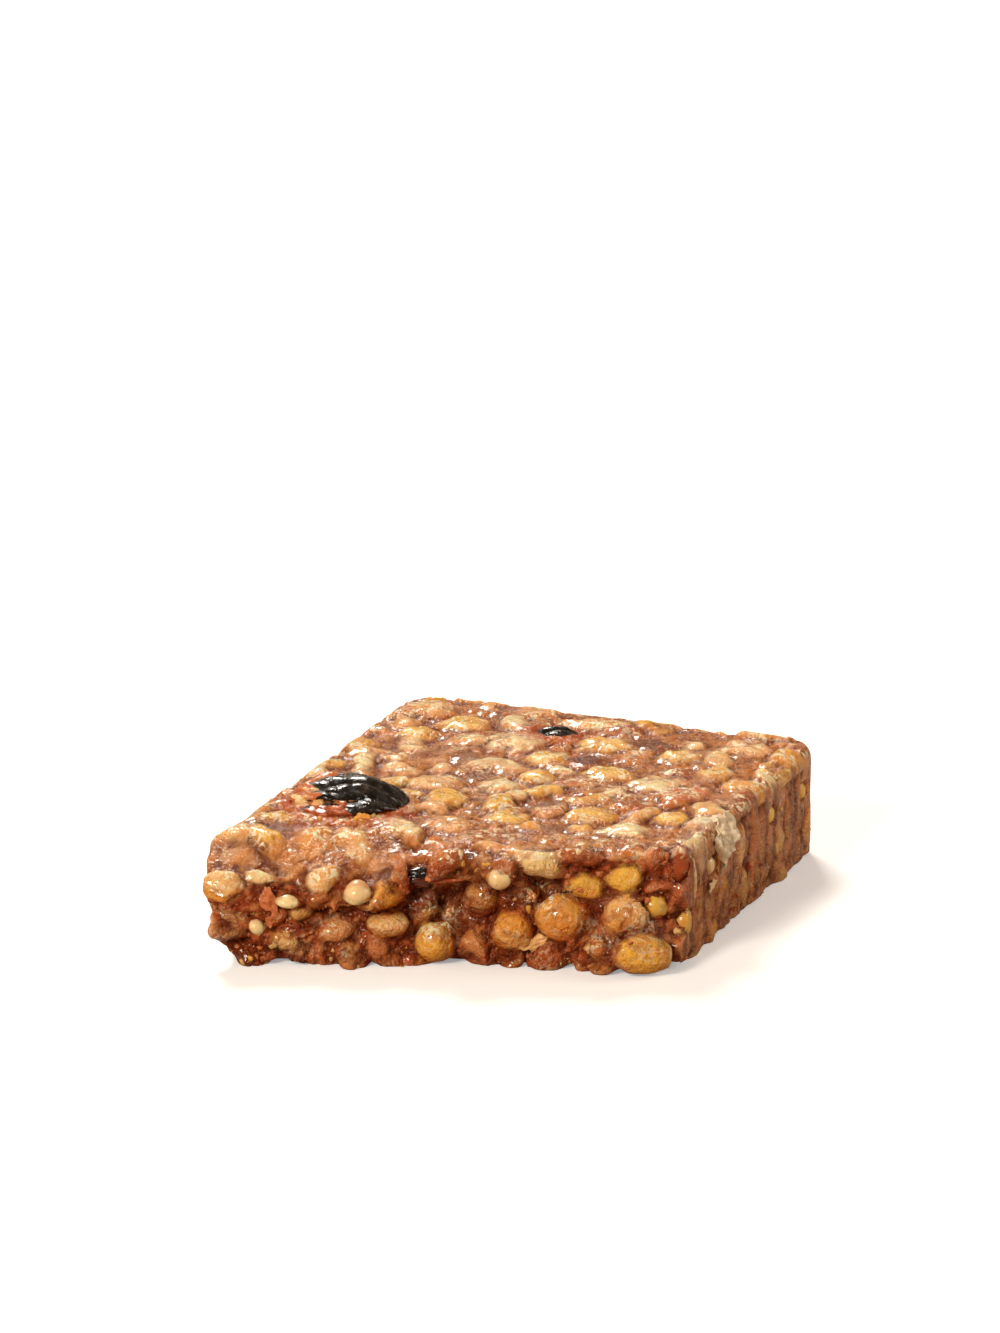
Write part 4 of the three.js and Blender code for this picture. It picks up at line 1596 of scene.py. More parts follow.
@dataclass
class Paste:
    """The paste: the slab's own surface, raised over every grain like a skin of syrup."""

    shape: BarShape
    grains: list[Grain]
    fruits: tuple[FruitPlace, ...]
    material: Material
    cells: tuple[int, int, int] = (200, 150, 52)
    noise: Noise = Noise(41)
    loose_warps: tuple[Span, ...] = ((2.6, 0.7), (1.1, 0.26))
    listed_warp: Span = (1.8, 0.2)
    broken_crumbs: tuple[Triple, ...] = ((0.4, 0.0, 1.0), (0.3, 2.3, 0.55))
    broken_top: float = 0.3
    press_waves: Triple = (3.0, 0.16, 0.02)
    press_blend: float = 0.4
    wear_waves: Span = (2.8, 0.15)
    hollow_passes: int = 14
    # Spans of the painted marks: hollows into painted shade in the creases, convex and high places into
    # painted sparkle highlights, and the snapped end's hollows into painted shade.
    crease_shade_span: Span = (-0.01, 0.12)
    crest_span: Span = (0.02, 0.22)
    high_span: Span = (0.1, 0.5)
    hollow_shade_span: Span = (0.0, 1.4)
    lip_radius: float = 1.8
    skirt_end: float = 1.3
    rim_span: Span = (1.1, 0.74)
    loose_share: float = 0.45
    # Painted shade: where a grain's lower part starts to darken.
    shaded_foot_span: Span = (0.2, -1.1)
    pool_span: Span = (1.15, 0.5)
    pool_level_share: float = 0.8
    points: Array = field(init=False)
    normals: Array = field(init=False)
    faces: Faces = field(init=False)
    attributes: dict[str, Array] = field(init=False)

    def build(self) -> Object:
        """Builds the paste: the slab, its lumps and hollows, and the colours of what lies under it.

        Returns:
            The paste as one closed piece.
        """
        shares, self.faces = cube_lattice(self.cells)
        base = self.shape.slab(shares)
        normals = vertex_normals(base, self.faces.quads)
        zones = self.zones(normals)
        height = self.plain_relief(base, normals, zones)
        bare = height.copy()
        cover = np.zeros(len(base))
        colour = np.tile(np.array(PINK.value), (len(base), 1))
        moved = base
        for pitch, reach in self.loose_warps:
            moved = self.noise.warp(moved, pitch, reach)
        smooth = self.noise.warp(base, *self.listed_warp)
        for grain in sorted(self.grains, key=lambda g: g.is_bare):
            seen = base if grain.is_bare else smooth if grain.listed else moved
            self.raise_over(grain, base, seen, normals, height, cover, colour)
        height += (0.05 + 0.05 * zones["top"]) * self.noise.fractal(base + 5.1, 0.75, 2)
        broken = sum(h * self.noise.crumbs(moved + shift, pitch) for h, shift, pitch in self.broken_crumbs)
        height += broken * (zones["snap"] + self.broken_top * zones["top"]) * (1 - cover)
        pool = self.sink_pools(base, height, zones["top"])
        stain = self.meet_fruit(base, height, cover)
        pitch, swing, least = self.press_waves
        short = self.noise.at(base, pitch) * swing + least
        pitch, swing = self.wear_waves
        worn = 1 + swing * self.noise.fractal(base, pitch, 2)
        raised = base + normals * height[:, None]
        self.points = self.shape.pressed(raised, short, self.press_blend, worn)
        self.normals = vertex_normals(self.points, self.faces.quads)
        hollow = hollowness(self.points, self.normals, self.faces.quads, self.hollow_passes)
        hollow -= hollowness(base, normals, self.faces.quads, self.hollow_passes)
        low = smooth_step(height - bare, 0.3, -0.1)
        low *= (1 - 0.75 * zones["snap"]) * (1 - 0.75 * zones["cut"])
        self.attributes = {
            "cover": cover * (1 - pool),
            "cover_colour": colour,
            # Partly syrup between the grains (low), partly painted shade where the surface lies in a hollow.
            "crease": np.maximum(0.6 * low, smooth_step(hollow, *self.crease_shade_span)) * (1 - pool),
            # Convexity and height, which place the painted sparkle highlights.
            "crest": smooth_step(-hollow, *self.crest_span),
            "high": smooth_step(height, *self.high_span),
            "cut": zones["cut"],
            "snap": zones["snap"],
            "top": zones["top"],
            # Painted shade in the snapped end's hollows.
            "deep": self.hollow_shade_of(base) * zones["snap"],
            "pool": pool,
            "stain": stain,
        }
        return make_object("bar_paste", self.points, self.faces, self.attributes, self.material)

    def hollow_shade_of(self, base: Array) -> Array:
        """How much painted shade each vertex takes in the hollows of the snapped end, by how far in the
        hollow goes.

        Args:
            base: the slab's vertices.

        Returns:
            Shares from 0 to 1.
        """
        along, _ = self.shape.snap_place(base)
        relief = self.shape.snap_relief(along, base[:, 2])
        return smooth_step(-relief, *self.hollow_shade_span)

    def zones(self, normals: Array) -> dict[str, Array]:
        """How much of each face's character a vertex has, by which way it faces.

        Args:
            normals: the way out at each vertex.

        Returns:
            Shares of the top, the underside, the snapped end and the knife-cut sides.
        """
        top = smooth_step(normals[:, 2], 0.35, 0.75)
        under = smooth_step(-normals[:, 2], 0.5, 0.85)
        snap = smooth_step(normals @ self.shape.snap_out, 0.45, 0.75) * (1 - top) * (1 - under)
        return {"top": top, "under": under, "snap": snap, "cut": (1 - top) * (1 - under) * (1 - snap)}

    def plain_relief(self, base: Array, normals: Array, zones: dict[str, Array]) -> Array:
        """The bare paste's height: waves on top, crumbs at the snap, upright drag marks on the cuts.

        The upper edge of the snapped end is worn down on its left by exp(-(r / lip_radius)^2), r being the
        distance from the edge in mm, and the pressed edges are filled out.

        Args:
            base: the bare slab's vertices.
            normals: the way out at each.
            zones: each one's share of each kind of face.

        Returns:
            The height in mm at each vertex.
        """
        n = self.noise
        crumbs = 0.5 * n.crumbs(base, 1.5) + 0.3 * n.crumbs(base + 3.7, 0.75)
        crumbs += 0.3 * n.fractal(base, 2.6, 2)
        marks = n.fractal(base, np.array([0.9, 0.9, 6.0]), 3) * (0.17 + 0.16 * n.at(base, 5.0))
        waves = 0.3 * n.fractal(base, 2.6, 3) + 0.08
        along, front = self.shape.snap_place(base)
        edge = np.hypot(base[:, 2] - self.shape.paste_top, np.minimum(front, 0))
        worn = np.exp(-((edge / self.lip_radius) ** 2)) * smooth_step(along, 22, 14)
        worn *= 0.6 + 0.5 * n.at(base, 2.4)
        straight = np.maximum(np.abs(normals[:, [0, 2]]).max(1), normals[:, 1])
        filled = smooth_step(straight, 0.98, 0.8) * (1 - zones["snap"]) * smooth_step(front, -1.0, -3.0)
        return (
            zones["top"] * waves
            + zones["under"] * (0.3 * waves - 0.06)
            + zones["snap"] * crumbs
            + zones["cut"] * (marks + 0.5 * waves)
            + 0.4 * filled
            - 0.9 * worn
        )

    def raise_over(
        self,
        grain: Grain,
        base: Array,
        moved: Array,
        normals: Array,
        height: Array,
        cover: Array,
        colour: Array,
    ) -> None:
        """Raises the skin over one grain, in place.

        Along a vertex's way out, the grain's surface is at t = middle + sqrt(1 - r^2) / |d|, where r is how
        far the line passes from the grain's middle and d the way out, both in the grain's half sizes. Past
        the share of r where the skin leaves the grain it goes on straight, as a skirt.

        Args:
            grain: the grain.
            base: the bare slab's vertices.
            moved: the same, warped so that lumps aren't plain ellipsoids.
            normals: the way out at each.
            height: how far each is moved out so far.
            cover: how much each is part of a grain so far.
            colour: the colour of what covers each so far.
        """
        is_loose = grain.face is SNAP and not grain.listed
        cover_kind = BARE_COVER if grain.is_bare else LOOSE_COVER if is_loose else COVERS[grain.face]
        leave, lift, rag, blend, limit, grown = cover_kind
        reach = grain.size.max() * self.skirt_end * grown + 1.0
        near = np.flatnonzero((np.abs(base - grain.middle) < reach).all(1))
        axes = grain.axes / np.array([[grown], [grown], [1.0]])
        offset = (moved[near] - grain.middle) @ axes.T
        way = normals[near] @ axes.T
        square = (way * way).sum(1)
        along = (offset * way).sum(1)
        r = np.sqrt(np.maximum((offset * offset).sum(1) - along**2 / square, 0))
        edge = math.sqrt(1 - leave**2)
        dome = np.sqrt(np.maximum(1 - r * r, 0))
        skirt = edge - leave / edge * (r - leave)
        rise = np.where(r < leave, dome, skirt) / np.sqrt(square) - along / square
        rise += lift + rag * self.noise.at(base[near], 1.1)
        ragged = r + 0.16 * self.noise.fractal(base[near], 0.9, 2)
        inside = smooth_step(ragged, *self.rim_span)
        entry = -dome / np.sqrt(square) - along / square
        kept = smooth_step(rise, limit, 0.7 * limit) * smooth_step(entry - height[near], 1.2, 0.5)
        kept *= smooth_step(normals[near] @ grain.out, 0.15, 0.45)
        rise = height[near] + (rise - height[near]) * kept
        share = np.clip(0.5 + 0.5 * (rise - height[near]) / blend, 0, 1) * (r < self.skirt_end)
        raised = smooth_max(rise, height[near], blend)
        if grain.is_bare:
            raised += (np.minimum(rise, raised) - raised) * smooth_step(r, 1.02, 0.9)
        height[near] = np.where(r < self.skirt_end, raised, height[near])
        tone = np.tile(np.array(grain.tone.value), (len(near), 1))
        if grain.face is SNAP:
            inside = inside * (1.0 if grain.listed else self.loose_share)
            # Painted shade: the grain's lower part darkened to orange-brown.
            low = smooth_step((base[near, 2] - grain.middle[2]) / grain.size[1], *self.shaded_foot_span)
            tone *= 1 - low[:, None] * (1 - np.array(SHADED_FOOT))
        cover[near] += (inside - cover[near]) * share
        colour[near] += (tone - colour[near]) * (share * inside)[:, None]

    def sink_pools(self, base: Array, height: Array, top: Array) -> Array:
        """Levels the top at the pools of syrup, in place.

        Args:
            base: the bare slab's vertices.
            height: how far each is moved out.
            top: how much each belongs to the top.

        Returns:
            How much of a pool each vertex is.
        """
        total = np.zeros(len(base))
        for pool in POOLS:
            x = (base[:, 0] - pool.x) / pool.long
            y = (base[:, 1] - pool.y) / pool.wide
            r = np.hypot(x, y) * (1 + 0.3 * self.noise.at(base, 1.4))
            inside = smooth_step(r, *self.pool_span) * top
            height += (pool.level - height) * inside * self.pool_level_share
            total = np.maximum(total, pool.strength * inside)
        return total

    def meet_fruit(self, base: Array, height: Array, cover: Array) -> Array:
        """Sinks the skin under each fruit, raises it to a rim round it and stains it there, in place.

        Args:
            base: the bare slab's vertices.
            height: how far each is moved out.
            cover: how much each is part of a grain.

        Returns:
            How stained each vertex is.
        """
        stain = np.zeros(len(base))
        for fruit in self.fruits:
            local = (base - fruit.middle) @ fruit.basis.T
            r = np.linalg.norm(local[:, :2] / np.array(fruit.half[:2]), axis=1)
            wide = math.sqrt(fruit.half[0] * fruit.half[1])
            past = (r - 1) * wide + 0.35 * self.noise.at(base, 1.3)
            close = (np.abs(local[:, 2]) < fruit.half[2] + 1.5) & (r < 1.8)
            sunk = close & (r < 0.9)
            height[sunk] = np.minimum(height[sunk], -0.4)
            front = smooth_step(-local[:, 1] / fruit.half[1], -0.3, 0.6)
            front = np.maximum(front, smooth_step(-local[:, 0] / fruit.half[0], 0.3, 0.8))
            bulge = (0.4 + 0.8 * front) * min(wide / 5, 1) * (1 + 0.7 * self.noise.fractal(base, 1.6, 2))
            seen = 1.0 if fruit.on_top else 0.2
            rim = seen * bulge * np.exp(-((past / 0.75) ** 2)) * (r >= 0.9)
            height[close] += rim[close]
            strength = seen * (0.5 + 0.45 * front) * np.exp(-((past / (0.6 + 0.9 * front)) ** 2))
            strength *= smooth_step(self.noise.fractal(base, 1.0, 3), -1.0, 0.1)
            stain[close] = np.maximum(stain[close], strength[close])
        cover *= 1 - stain
        return stain


# ---- grains as meshes


class GrainForm(NamedTuple):
    """How a seed's mesh is made: sides and rings, lumps and how its tip narrows."""

    sides: int
    rings: int
    lumps: float
    taper: float


FORMS = {
    MILLET: GrainForm(26, 16, 0.02, 0.0),
    FLAX: GrainForm(26, 18, 0.01, 0.32),
}


@dataclass
class GrainHeap:
    """The grains of one kind that show as pieces of their own, as one mesh."""

    shape: BarShape
    kind: Kind
    grains: list[Grain]
    material: Material
    noise: Noise = Noise(77)
    lump_waves: int = 7
    lump_turns: Span = (1.8, 4.5)
    rough_height: float = 0.06
    rough_pitch: float = 0.9
    press_blend: float = 0.3
    light_spread: float = 0.07
    film_span: Span = (0.75, 0.1)

    def build(self) -> Object:
        """Builds the grains: balls stretched to their half sizes, lumpy, pressed and cut flush.

        Returns:
            The grains as one piece.
        """
        form = FORMS[self.kind]
        rng = np.random.default_rng(len(self.grains))
        points, faces = ball(form.sides, form.rings)
        count = len(self.grains)
        local = np.repeat(self.formed(points, form)[None], count, 0)
        local *= 1 + form.lumps * self.lumps(points, count, rng)[..., None]
        sizes = np.array([g.size for g in self.grains])
        bases = np.array([g.axes * g.size[:, None] for g in self.grains])
        middles = np.array([g.middle for g in self.grains])
        placed = np.einsum("gtk,gkj->gtj", local * sizes[:, None], bases)
        rough = self.noise.fractal((placed + middles[:, None]).reshape(-1, 3), self.rough_pitch, 2)
        placed *= 1 + self.rough_height * rough.reshape(count, -1, 1)
        short = np.array([g.short for g in self.grains])[:, None]
        placed = self.shape.pressed(placed + middles[:, None], short, self.press_blend)
        return make_object(
            f"bar_{self.kind.name.lower()}",
            placed.reshape(-1, 3),
            repeated(faces, len(points), count),
            self.finish_of(points, rng),
            self.material,
        )

    def formed(self, points: Array, form: GrainForm) -> Array:
        """The unit ball with its width times 1 - taper * smooth step along it, so that its tip narrows."""
        width = 1 - form.taper * smooth_step(points[:, 0], -0.4, 1.0)
        return points * np.column_stack([np.ones(len(points)), width, width])

    def lumps(self, points: Array, count: int, rng: np.random.Generator) -> Array:
        """Each grain's own lumps: a few cosines of random directions and phases, added up.

        Args:
            points: the ball's points.
            count: how many grains there are.
            rng: where the random numbers come from.

        Returns:
            A row of heights for each grain, divided by the root of the number of waves.
        """
        turns = rng.normal(size=(count, self.lump_waves, 3))
        ways = unit(turns) * rng.uniform(*self.lump_turns, (count, 1, 1))
        phases = rng.uniform(0, 2 * math.pi, (count, 1, self.lump_waves))
        waves = np.cos(np.einsum("tj,gkj->gtk", points, ways) + phases)
        return waves.sum(-1) / math.sqrt(self.lump_waves)

    def finish_of(self, points: Array, rng: np.random.Generator) -> dict[str, Array]:
        """Each vertex's colour and how much paste is smeared on it, most where the grain goes under.

        Args:
            points: the ball's points.
            rng: where the random numbers come from.

        Returns:
            The mesh's attributes by name.
        """
        count = len(self.grains)
        tones = np.array([g.tone.value for g in self.grains])
        light = rng.normal(1, self.light_spread, (count, 1))
        colours = np.clip(tones * light, 0, 1)
        film = np.repeat(smooth_step(points[:, 2], *self.film_span)[None], count, 0)
        return {"grain_colour": np.repeat(colours, len(points), 0), "film": film.ravel()}


@dataclass
class Crumbs:
    """Crumbs that broke off the grains and stuck: small jagged chunks on the bare paste."""

    paste: Paste
    material: Material
    counts: tuple[tuple[str, int], ...] = (("snap", 260), ("stain", 70), ("top", 30), ("cut", 50))
    low: float = 0.1
    high: float = 0.42
    sides: int = 10
    rings: int = 7
    tones: tuple[Tone, ...] = (PINK, TAN, BROWN, AMBER)
    odds: tuple[float, ...] = (0.5, 0.15, 0.25, 0.1)

    def build(self) -> Object:
        """Builds the crumbs: rough balls with half sizes from low to high, mostly small.

        Returns:
            The crumbs as one piece.
        """
        rng = np.random.default_rng(9)
        points, faces = ball(self.sides, self.rings)
        chosen = []
        for zone, count in self.counts:
            odds = self.paste.attributes[zone] * (1.1 - self.paste.attributes["cover"])
            chosen.append(rng.choice(len(odds), count, replace=False, p=odds / odds.sum()))
        at = np.concatenate(chosen)
        count = len(at)
        size = self.low + (self.high - self.low) * rng.random((count, 1, 1)) ** 2.2
        stretch = rng.uniform(0.5, 1.5, (count, 1, 3))
        local = points[None] * size * stretch * rng.uniform(0.65, 1.2, (count, len(points), 1))
        spin = unit(rng.normal(size=(count, 3)))
        side = unit(np.cross(spin, rng.normal(size=(count, 3))))
        bases = np.stack([spin, side, np.cross(spin, side)], 1)
        middle = self.paste.points[at] - self.paste.normals[at] * (size[:, 0] * 0.5)
        placed = np.einsum("gtk,gkj->gtj", local, bases) + middle[:, None]
        placed[..., 2] = np.maximum(placed[..., 2], 0.02)
        tones = np.array([tone.value for tone in self.tones])[rng.choice(len(self.tones), count, p=self.odds)]
        tones = np.clip(tones * rng.normal(1, 0.1, (count, 1)), 0, 1)
        attributes = {
            "grain_colour": np.repeat(tones, len(points), 0),
            "film": np.full(count * len(points), 0.25),
        }
        flat = placed.reshape(-1, 3)
        return make_object(
            "bar_crumbs", flat, repeated(faces, len(points), count), attributes, self.material
        )


class Flake(NamedTuple):
    """A thin husk or crust: middle, the ways that its length and its face point, half sizes and its form.

    Its bend lifts both ends towards its face, in mm, and its rag is how ragged its outline is.
    """

    middle: Triple
    length: Triple
    out: Triple
    half: Triple
    bend: float
    rag: float
    tone: Tone
    taper: float = 0.0


@dataclass
class Flakes:
    """The husks and crusts that stick to the bar, as one piece."""

    flakes: tuple[Flake, ...]
    material: Material
    sides: int = 40
    rings: int = 26
    noise: Noise = Noise(15)

    def build(self) -> Object:
        """Builds the flakes: flat lenses with a ragged outline, bent along their length and crinkled.

        Returns:
            The flakes as one piece.
        """
        points, faces = ball(self.sides, self.rings)
        placed = np.concatenate([self.placed(points, flake, k) for k, flake in enumerate(self.flakes)])
        colours = np.concatenate([np.tile(f.tone.value, (len(points), 1)) for f in self.flakes])
        film = np.tile(smooth_step(points[:, 0], 0.2, 1.2), len(self.flakes))
        attributes = {"grain_colour": colours, "film": film * 0.5}
        count = len(self.flakes)
        return make_object(
            "bar_flakes", placed, repeated(faces, len(points), count), attributes, self.material
        )

    def placed(self, points: Array, flake: Flake, number: int) -> Array:
        """One flake's points: its rim moves by rag * noise and its face by bend * x^2 plus crinkles.

        Args:
            points: the ball's points.
            flake: the flake.
            number: its place in the list, which shifts its noise.

        Returns:
            The points in mm.
        """
        seen = points * np.array([1, 1, 0]) * 2.2 + number * 7.3
        outline = 1 + flake.rag * self.noise.fractal(seen, 1.0, 3)
        flat = points * outline[:, None] * np.array(flake.half)
        flat[:, 1] *= 1 - flake.taper * smooth_step(points[:, 0], -0.7, 0.8)
        crinkle = np.abs(self.noise.fractal(flat * np.array([1, 1, 0]) + number * 3.1, 0.7, 3))
        flat[:, 2] += flake.bend * points[:, 0] ** 2 + 0.45 * flake.half[1] * crinkle
        length = unit(np.array(flake.length))
        out = unit(np.array(flake.out) - length * np.dot(flake.out, length))
        basis = np.array([length, np.cross(out, length), out])
        return flat @ basis + np.array(flake.middle)


def flake_list(shape: BarShape) -> tuple[Flake, ...]:
    """The flakes: on the front right corner, along the lip of the snapped end and round the fruit.

    Args:
        shape: the bar's shape, which places those on the snapped end.

    Returns:
        The flakes.
    """
    along, out = tuple(shape.snap_along), tuple(shape.snap_out)

    def snap(a: float, height: float, forward: float) -> Triple:
        """A place on the snapped end."""
        return tuple(shape.snap_point(a, height, forward))

    right, up_front = (1.0, 0.0, 0.0), (0.0, -0.7, 1.0)
    return table(
        Flake,
        ((19.9, -1.0, 8.4), (0.0, -0.1, -1.0), (1.0, -0.35, 0.2), (2.5, 1.7, 0.1), -0.35, 0.3, CHALK, 0.7),
        ((18.9, -0.4, 10.3), (0.5, 1.0, 0.0), (0.4, 0.0, 1.0), (1.3, 0.6, 0.08), -0.3, 0.5, CHALK),
        ((19.8, 0.3, 8.3), (0.0, 0.3, -1.0), right, (1.3, 0.5, 0.1), -0.3, 0.5, PALE, 0.5),
        ((19.6, -1.4, 7.2), (0.0, 0.1, -1.0), right, (1.3, 0.5, 0.1), -0.2, 0.5, TAN),
        ((19.7, -3.6, 5.4), (0.0, -1.0, -0.3), right, (0.8, 0.35, 0.1), 0.1, 0.5, PALE),
        ((19.35, -7.5, 7.1), (0.0, 0.1, -1.0), (1.0, -0.6, 0.0), (2.3, 0.5, 0.25), -0.2, 0.15, PALE),
        (snap(21.6, 7.6, 0.3), along, (0.2, -0.8, 0.5), (1.7, 0.3, 0.12), 0.2, 0.06, RUSSET, 0.5),
        (snap(29.5, 2.2, 0.9), (1.0, 0.4, 0.5), out, (1.2, 0.6, 0.15), 0.2, 0.4, TAN),
        (snap(6.5, 5.4, 0.35), (0.1, 0.0, -1.0), out, (1.8, 0.75, 0.2), 0.15, 0.15, PINK),
        ((-15.3, -10.4, 10.9), (1.0, 0.3, 0.1), (0.0, -0.6, 1.0), (0.8, 0.5, 0.5), 0.0, 0.3, PALE),
        ((-13.8, -11.0, 10.9), (1.0, 0.2, 0.2), up_front, (0.6, 0.4, 0.4), 0.0, 0.4, TAN),
        ((-11.6, -12.0, 10.6), (1.0, 0.0, 0.2), up_front, (0.9, 0.35, 0.4), 0.0, 0.3, AMBER),
        ((-9.4, -11.7, 10.4), (1.0, 0.4, 0.0), up_front, (0.8, 0.35, 0.4), 0.0, 0.3, AMBER),
    )


# ---- dried fruit


@dataclass
class DriedFruit:
    """A piece of dried fruit, wrinkled along its length."""

    place: FruitPlace
    material: Material
    fold: float = 0.28
    noise: Noise = Noise(23)

    @property
    def ball(self) -> tuple[Array, Faces]:
        """The unit ball that it is made from."""
        return ball(self.place.sides, self.place.sides // 2)

    def wrinkled(self, points: Array) -> Array:
        """A unit ball's points whose radius falls by fold * (1 - |cos(ridges * angle / 2)|^0.7) in wrinkles.

        The angle is warped by noise, so that wrinkles wander and fork, and they fade out at both ends.

        Args:
            points: the ball's points.

        Returns:
            The points, wrinkled.
        """
        around = np.arctan2(points[:, 2], points[:, 1])
        rim = np.hypot(points[:, 1], points[:, 2])
        ring = np.column_stack([points[:, 0] * 0.9, np.cos(around), np.sin(around)])
        warp = 0.22 * self.noise.fractal(ring, 0.8, 2) + 0.3 * np.sin(1.8 * points[:, 0] + 0.4)
        valley = 1 - np.abs(np.cos(self.place.ridges * (around + warp) / 2)) ** 0.7
        small = 1 - np.abs(np.cos(self.place.ridges * (around - 1.3 * warp) + 1)) ** 0.7
        depth = self.fold * (0.2 - valley) + 0.2 * self.fold * (0.25 - small)
        lumps = 0.04 * self.noise.fractal(points, 0.4, 3)
        return points * (1 + depth * rim + lumps)[:, None]

    def put(self, points: Array) -> Array:
        """Points of the ball in their place in the bar, in mm."""
        return (points * np.array(self.place.half)) @ self.place.basis + self.place.middle

    def build(self) -> Object:
        """Builds the fruit from its wrinkled ball.

        Returns:
            The fruit as one closed piece.
        """
        points, faces = self.ball
        attributes = {"rim": smooth_step(points[:, 2], 0.4, 0.0)}
        placed = self.put(self.wrinkled(points))
        return make_object(f"{self.place.name}_skin", placed, faces, attributes, self.material)

    def smear(self, material: Material) -> Object:
        """Paste pressed over its left end and along its front: its own form, sunk into it where it is bare.

        Args:
            material: the paste's finish.

        Returns:
            The smear as one closed piece.
        """
        points, faces = self.ball
        left, front = -points[:, 0] - 0.42, -points[:, 1] - 0.8
        rag = self.noise.fractal(points + 4.0, np.array([0.5, 0.16, 0.3]), 3)
        covered = smooth_step(np.maximum(left, front) + 0.2 * rag, 0.0, 0.1)
        lumps = 1 + 0.8 * self.noise.fractal(points + 2.0, 0.2, 3)
        ways = unit(points / np.array(self.place.half)) @ self.place.basis
        out = (-0.2 + covered * (0.28 + 0.16 * lumps))[:, None]
        # Painted highlight: cream streaks away from the front edge stand for the glaze's white glints.
        pale = smooth_step(self.noise.fractal(points + 7.0, np.array([0.4, 0.2, 0.2]), 3), 0.0, 0.7)
        pale *= smooth_step(front, 0.1, -0.2)
        tones = np.array([PINK.value, CREAM.value])
        attributes = {
            "grain_colour": tones[0] + (tones[1] - tones[0]) * pale[:, None],
            "film": smooth_step(front, -0.3, 0.1) * 0.8,
        }
        placed = self.put(self.wrinkled(points)) + ways * out
        return make_object(f"{self.place.name}_smear", placed, faces, attributes, material)


# ---- studio


@dataclass
class Studio:
    """A pale floor, a white room that is brightest behind, lights from above and the camera."""

    elevation: float = 18.5
    azimuth: float = 21.5
    distance: float = 700.0
    pixels_per_mm: float = 11.4
    frame_height: float = 1333.0
    target: Triple = (0.0, 2.75, 5.0)
    target_right: float = 25.5
    target_down: float = 174.5
    floor_size: float = 6.0

    def build(self) -> None:
        """Makes the floor, the lights and the camera."""
        self.world()
        self.floor()
        self.area("key", (-0.3, 0.4, 0.5), 0.2, 3.7, (1.0, 0.95, 0.88))
        self.area("fill", (-0.18, -0.66, 0.38), 0.2, 4.7, (1.0, 0.92, 0.8))
        self.area("rim", (0.5, 0.2, 0.3), 0.3, 1.3, (1.0, 0.94, 0.86))
        self.camera()

    def world(self) -> None:
        """A white room whose light grows from the front to the back, and plain white to the eye."""
        world = bpy.data.worlds.new("studio_world")
        bpy.context.scene.world = world
        world.use_nodes = True
        tree = Tree(world.node_tree)
        way = tree.add("ShaderNodeTexCoord").outputs["Generated"]
        axes = tree.add("ShaderNodeSeparateXYZ", {"Vector": way}).outputs
        back = tree.span(axes["Y"], -0.1, 0.9)
        low = tree.span(axes["Z"], 0.85, 0.25)
        glow = tree.math("MULTIPLY_ADD", tree.times(back, low), 0.02, 0.2)
        seen = tree.add("ShaderNodeLightPath").outputs["Is Camera Ray"]
        strength = tree.math("MAXIMUM", glow, seen)
        colour = tree.mix(seen, (1.0, 0.7, 0.42), (1.0, 1.0, 1.0))
        sky = tree.add("ShaderNodeBackground", {"Color": colour, "Strength": strength})
        output = tree.add("ShaderNodeOutputWorld")
        tree.tree.links.new(sky.outputs[0], output.inputs["Surface"])

    def floor(self) -> None:
        """A floor that looks white and lights the bar from below as a dull one would."""
        half = self.floor_size / 2
        mesh = bpy.data.meshes.new("floor")
        corners = [(-half, -half, 0), (half, -half, 0), (half, half, 0), (-half, half, 0)]
        mesh.from_pydata(corners, [], [(0, 1, 2, 3)])
        material, tree, _ = new_material("floor_paint")
        seen = tree.add("ShaderNodeLightPath").outputs["Is Camera Ray"]
        colour = tree.mix(seen, (0.4, 0.31, 0.24), (0.93, 0.925, 0.92))
        glow = tree.times(seen, 0.3)
        surface(
            tree,
            {
                "Base Color": colour,
                "Roughness": 0.9,
                "Emission Color": (1.0, 1.0, 1.0),
                "Emission Strength": glow,
            },
        )
        mesh.materials.append(material)
        floor = bpy.data.objects.new("floor", mesh)
        bpy.context.scene.collection.objects.link(floor)

    def area(
        self, name: str, place: Triple, size: float, power: float, colour: Colour
    ) -> None:
        """Adds a square light aimed at the bar.

        Args:
            name: its name.
            place: where it is, in metres.
            size: its side, in metres.
            power: its power in watts.
            colour: its colour.
        """
        data = bpy.data.lights.new(name, "AREA")
        data.size = size
        data.energy = power
        data.color = colour
        light = bpy.data.objects.new(name, data)
        light.location = place
        aim = Vector(self.target) * MM - Vector(place)
        light.rotation_euler = aim.to_track_quat("-Z", "Y").to_euler()
        bpy.context.scene.collection.objects.link(light)

    def camera(self) -> None:
        """A long lens from the front right, aimed so that the bar lies low in the frame."""
        e, a = math.radians(self.elevation), math.radians(self.azimuth)
        back = Vector((math.sin(a) * math.cos(e), -math.cos(a) * math.cos(e), math.sin(e)))
        right = Vector((math.cos(a), math.sin(a), 0))
        up = back.cross(right)
        place = Vector(self.target) + back * self.distance
        aim = Vector(self.target) + (up * self.target_down - right * self.target_right) / self.pixels_per_mm
        data = bpy.data.cameras.new("camera")
        data.sensor_width = 36.0
        data.lens = self.pixels_per_mm * self.distance * data.sensor_width / self.frame_height
        data.clip_start, data.clip_end = 0.01, 20.0
        camera = bpy.data.objects.new("camera", data)
        camera.location = place * MM
        camera.rotation_euler = (aim - place).to_track_quat("-Z", "Y").to_euler()
        bpy.context.scene.collection.objects.link(camera)
        bpy.context.scene.camera = camera
        bpy.context.scene.view_settings.view_transform = "Standard"


# ---- all of it


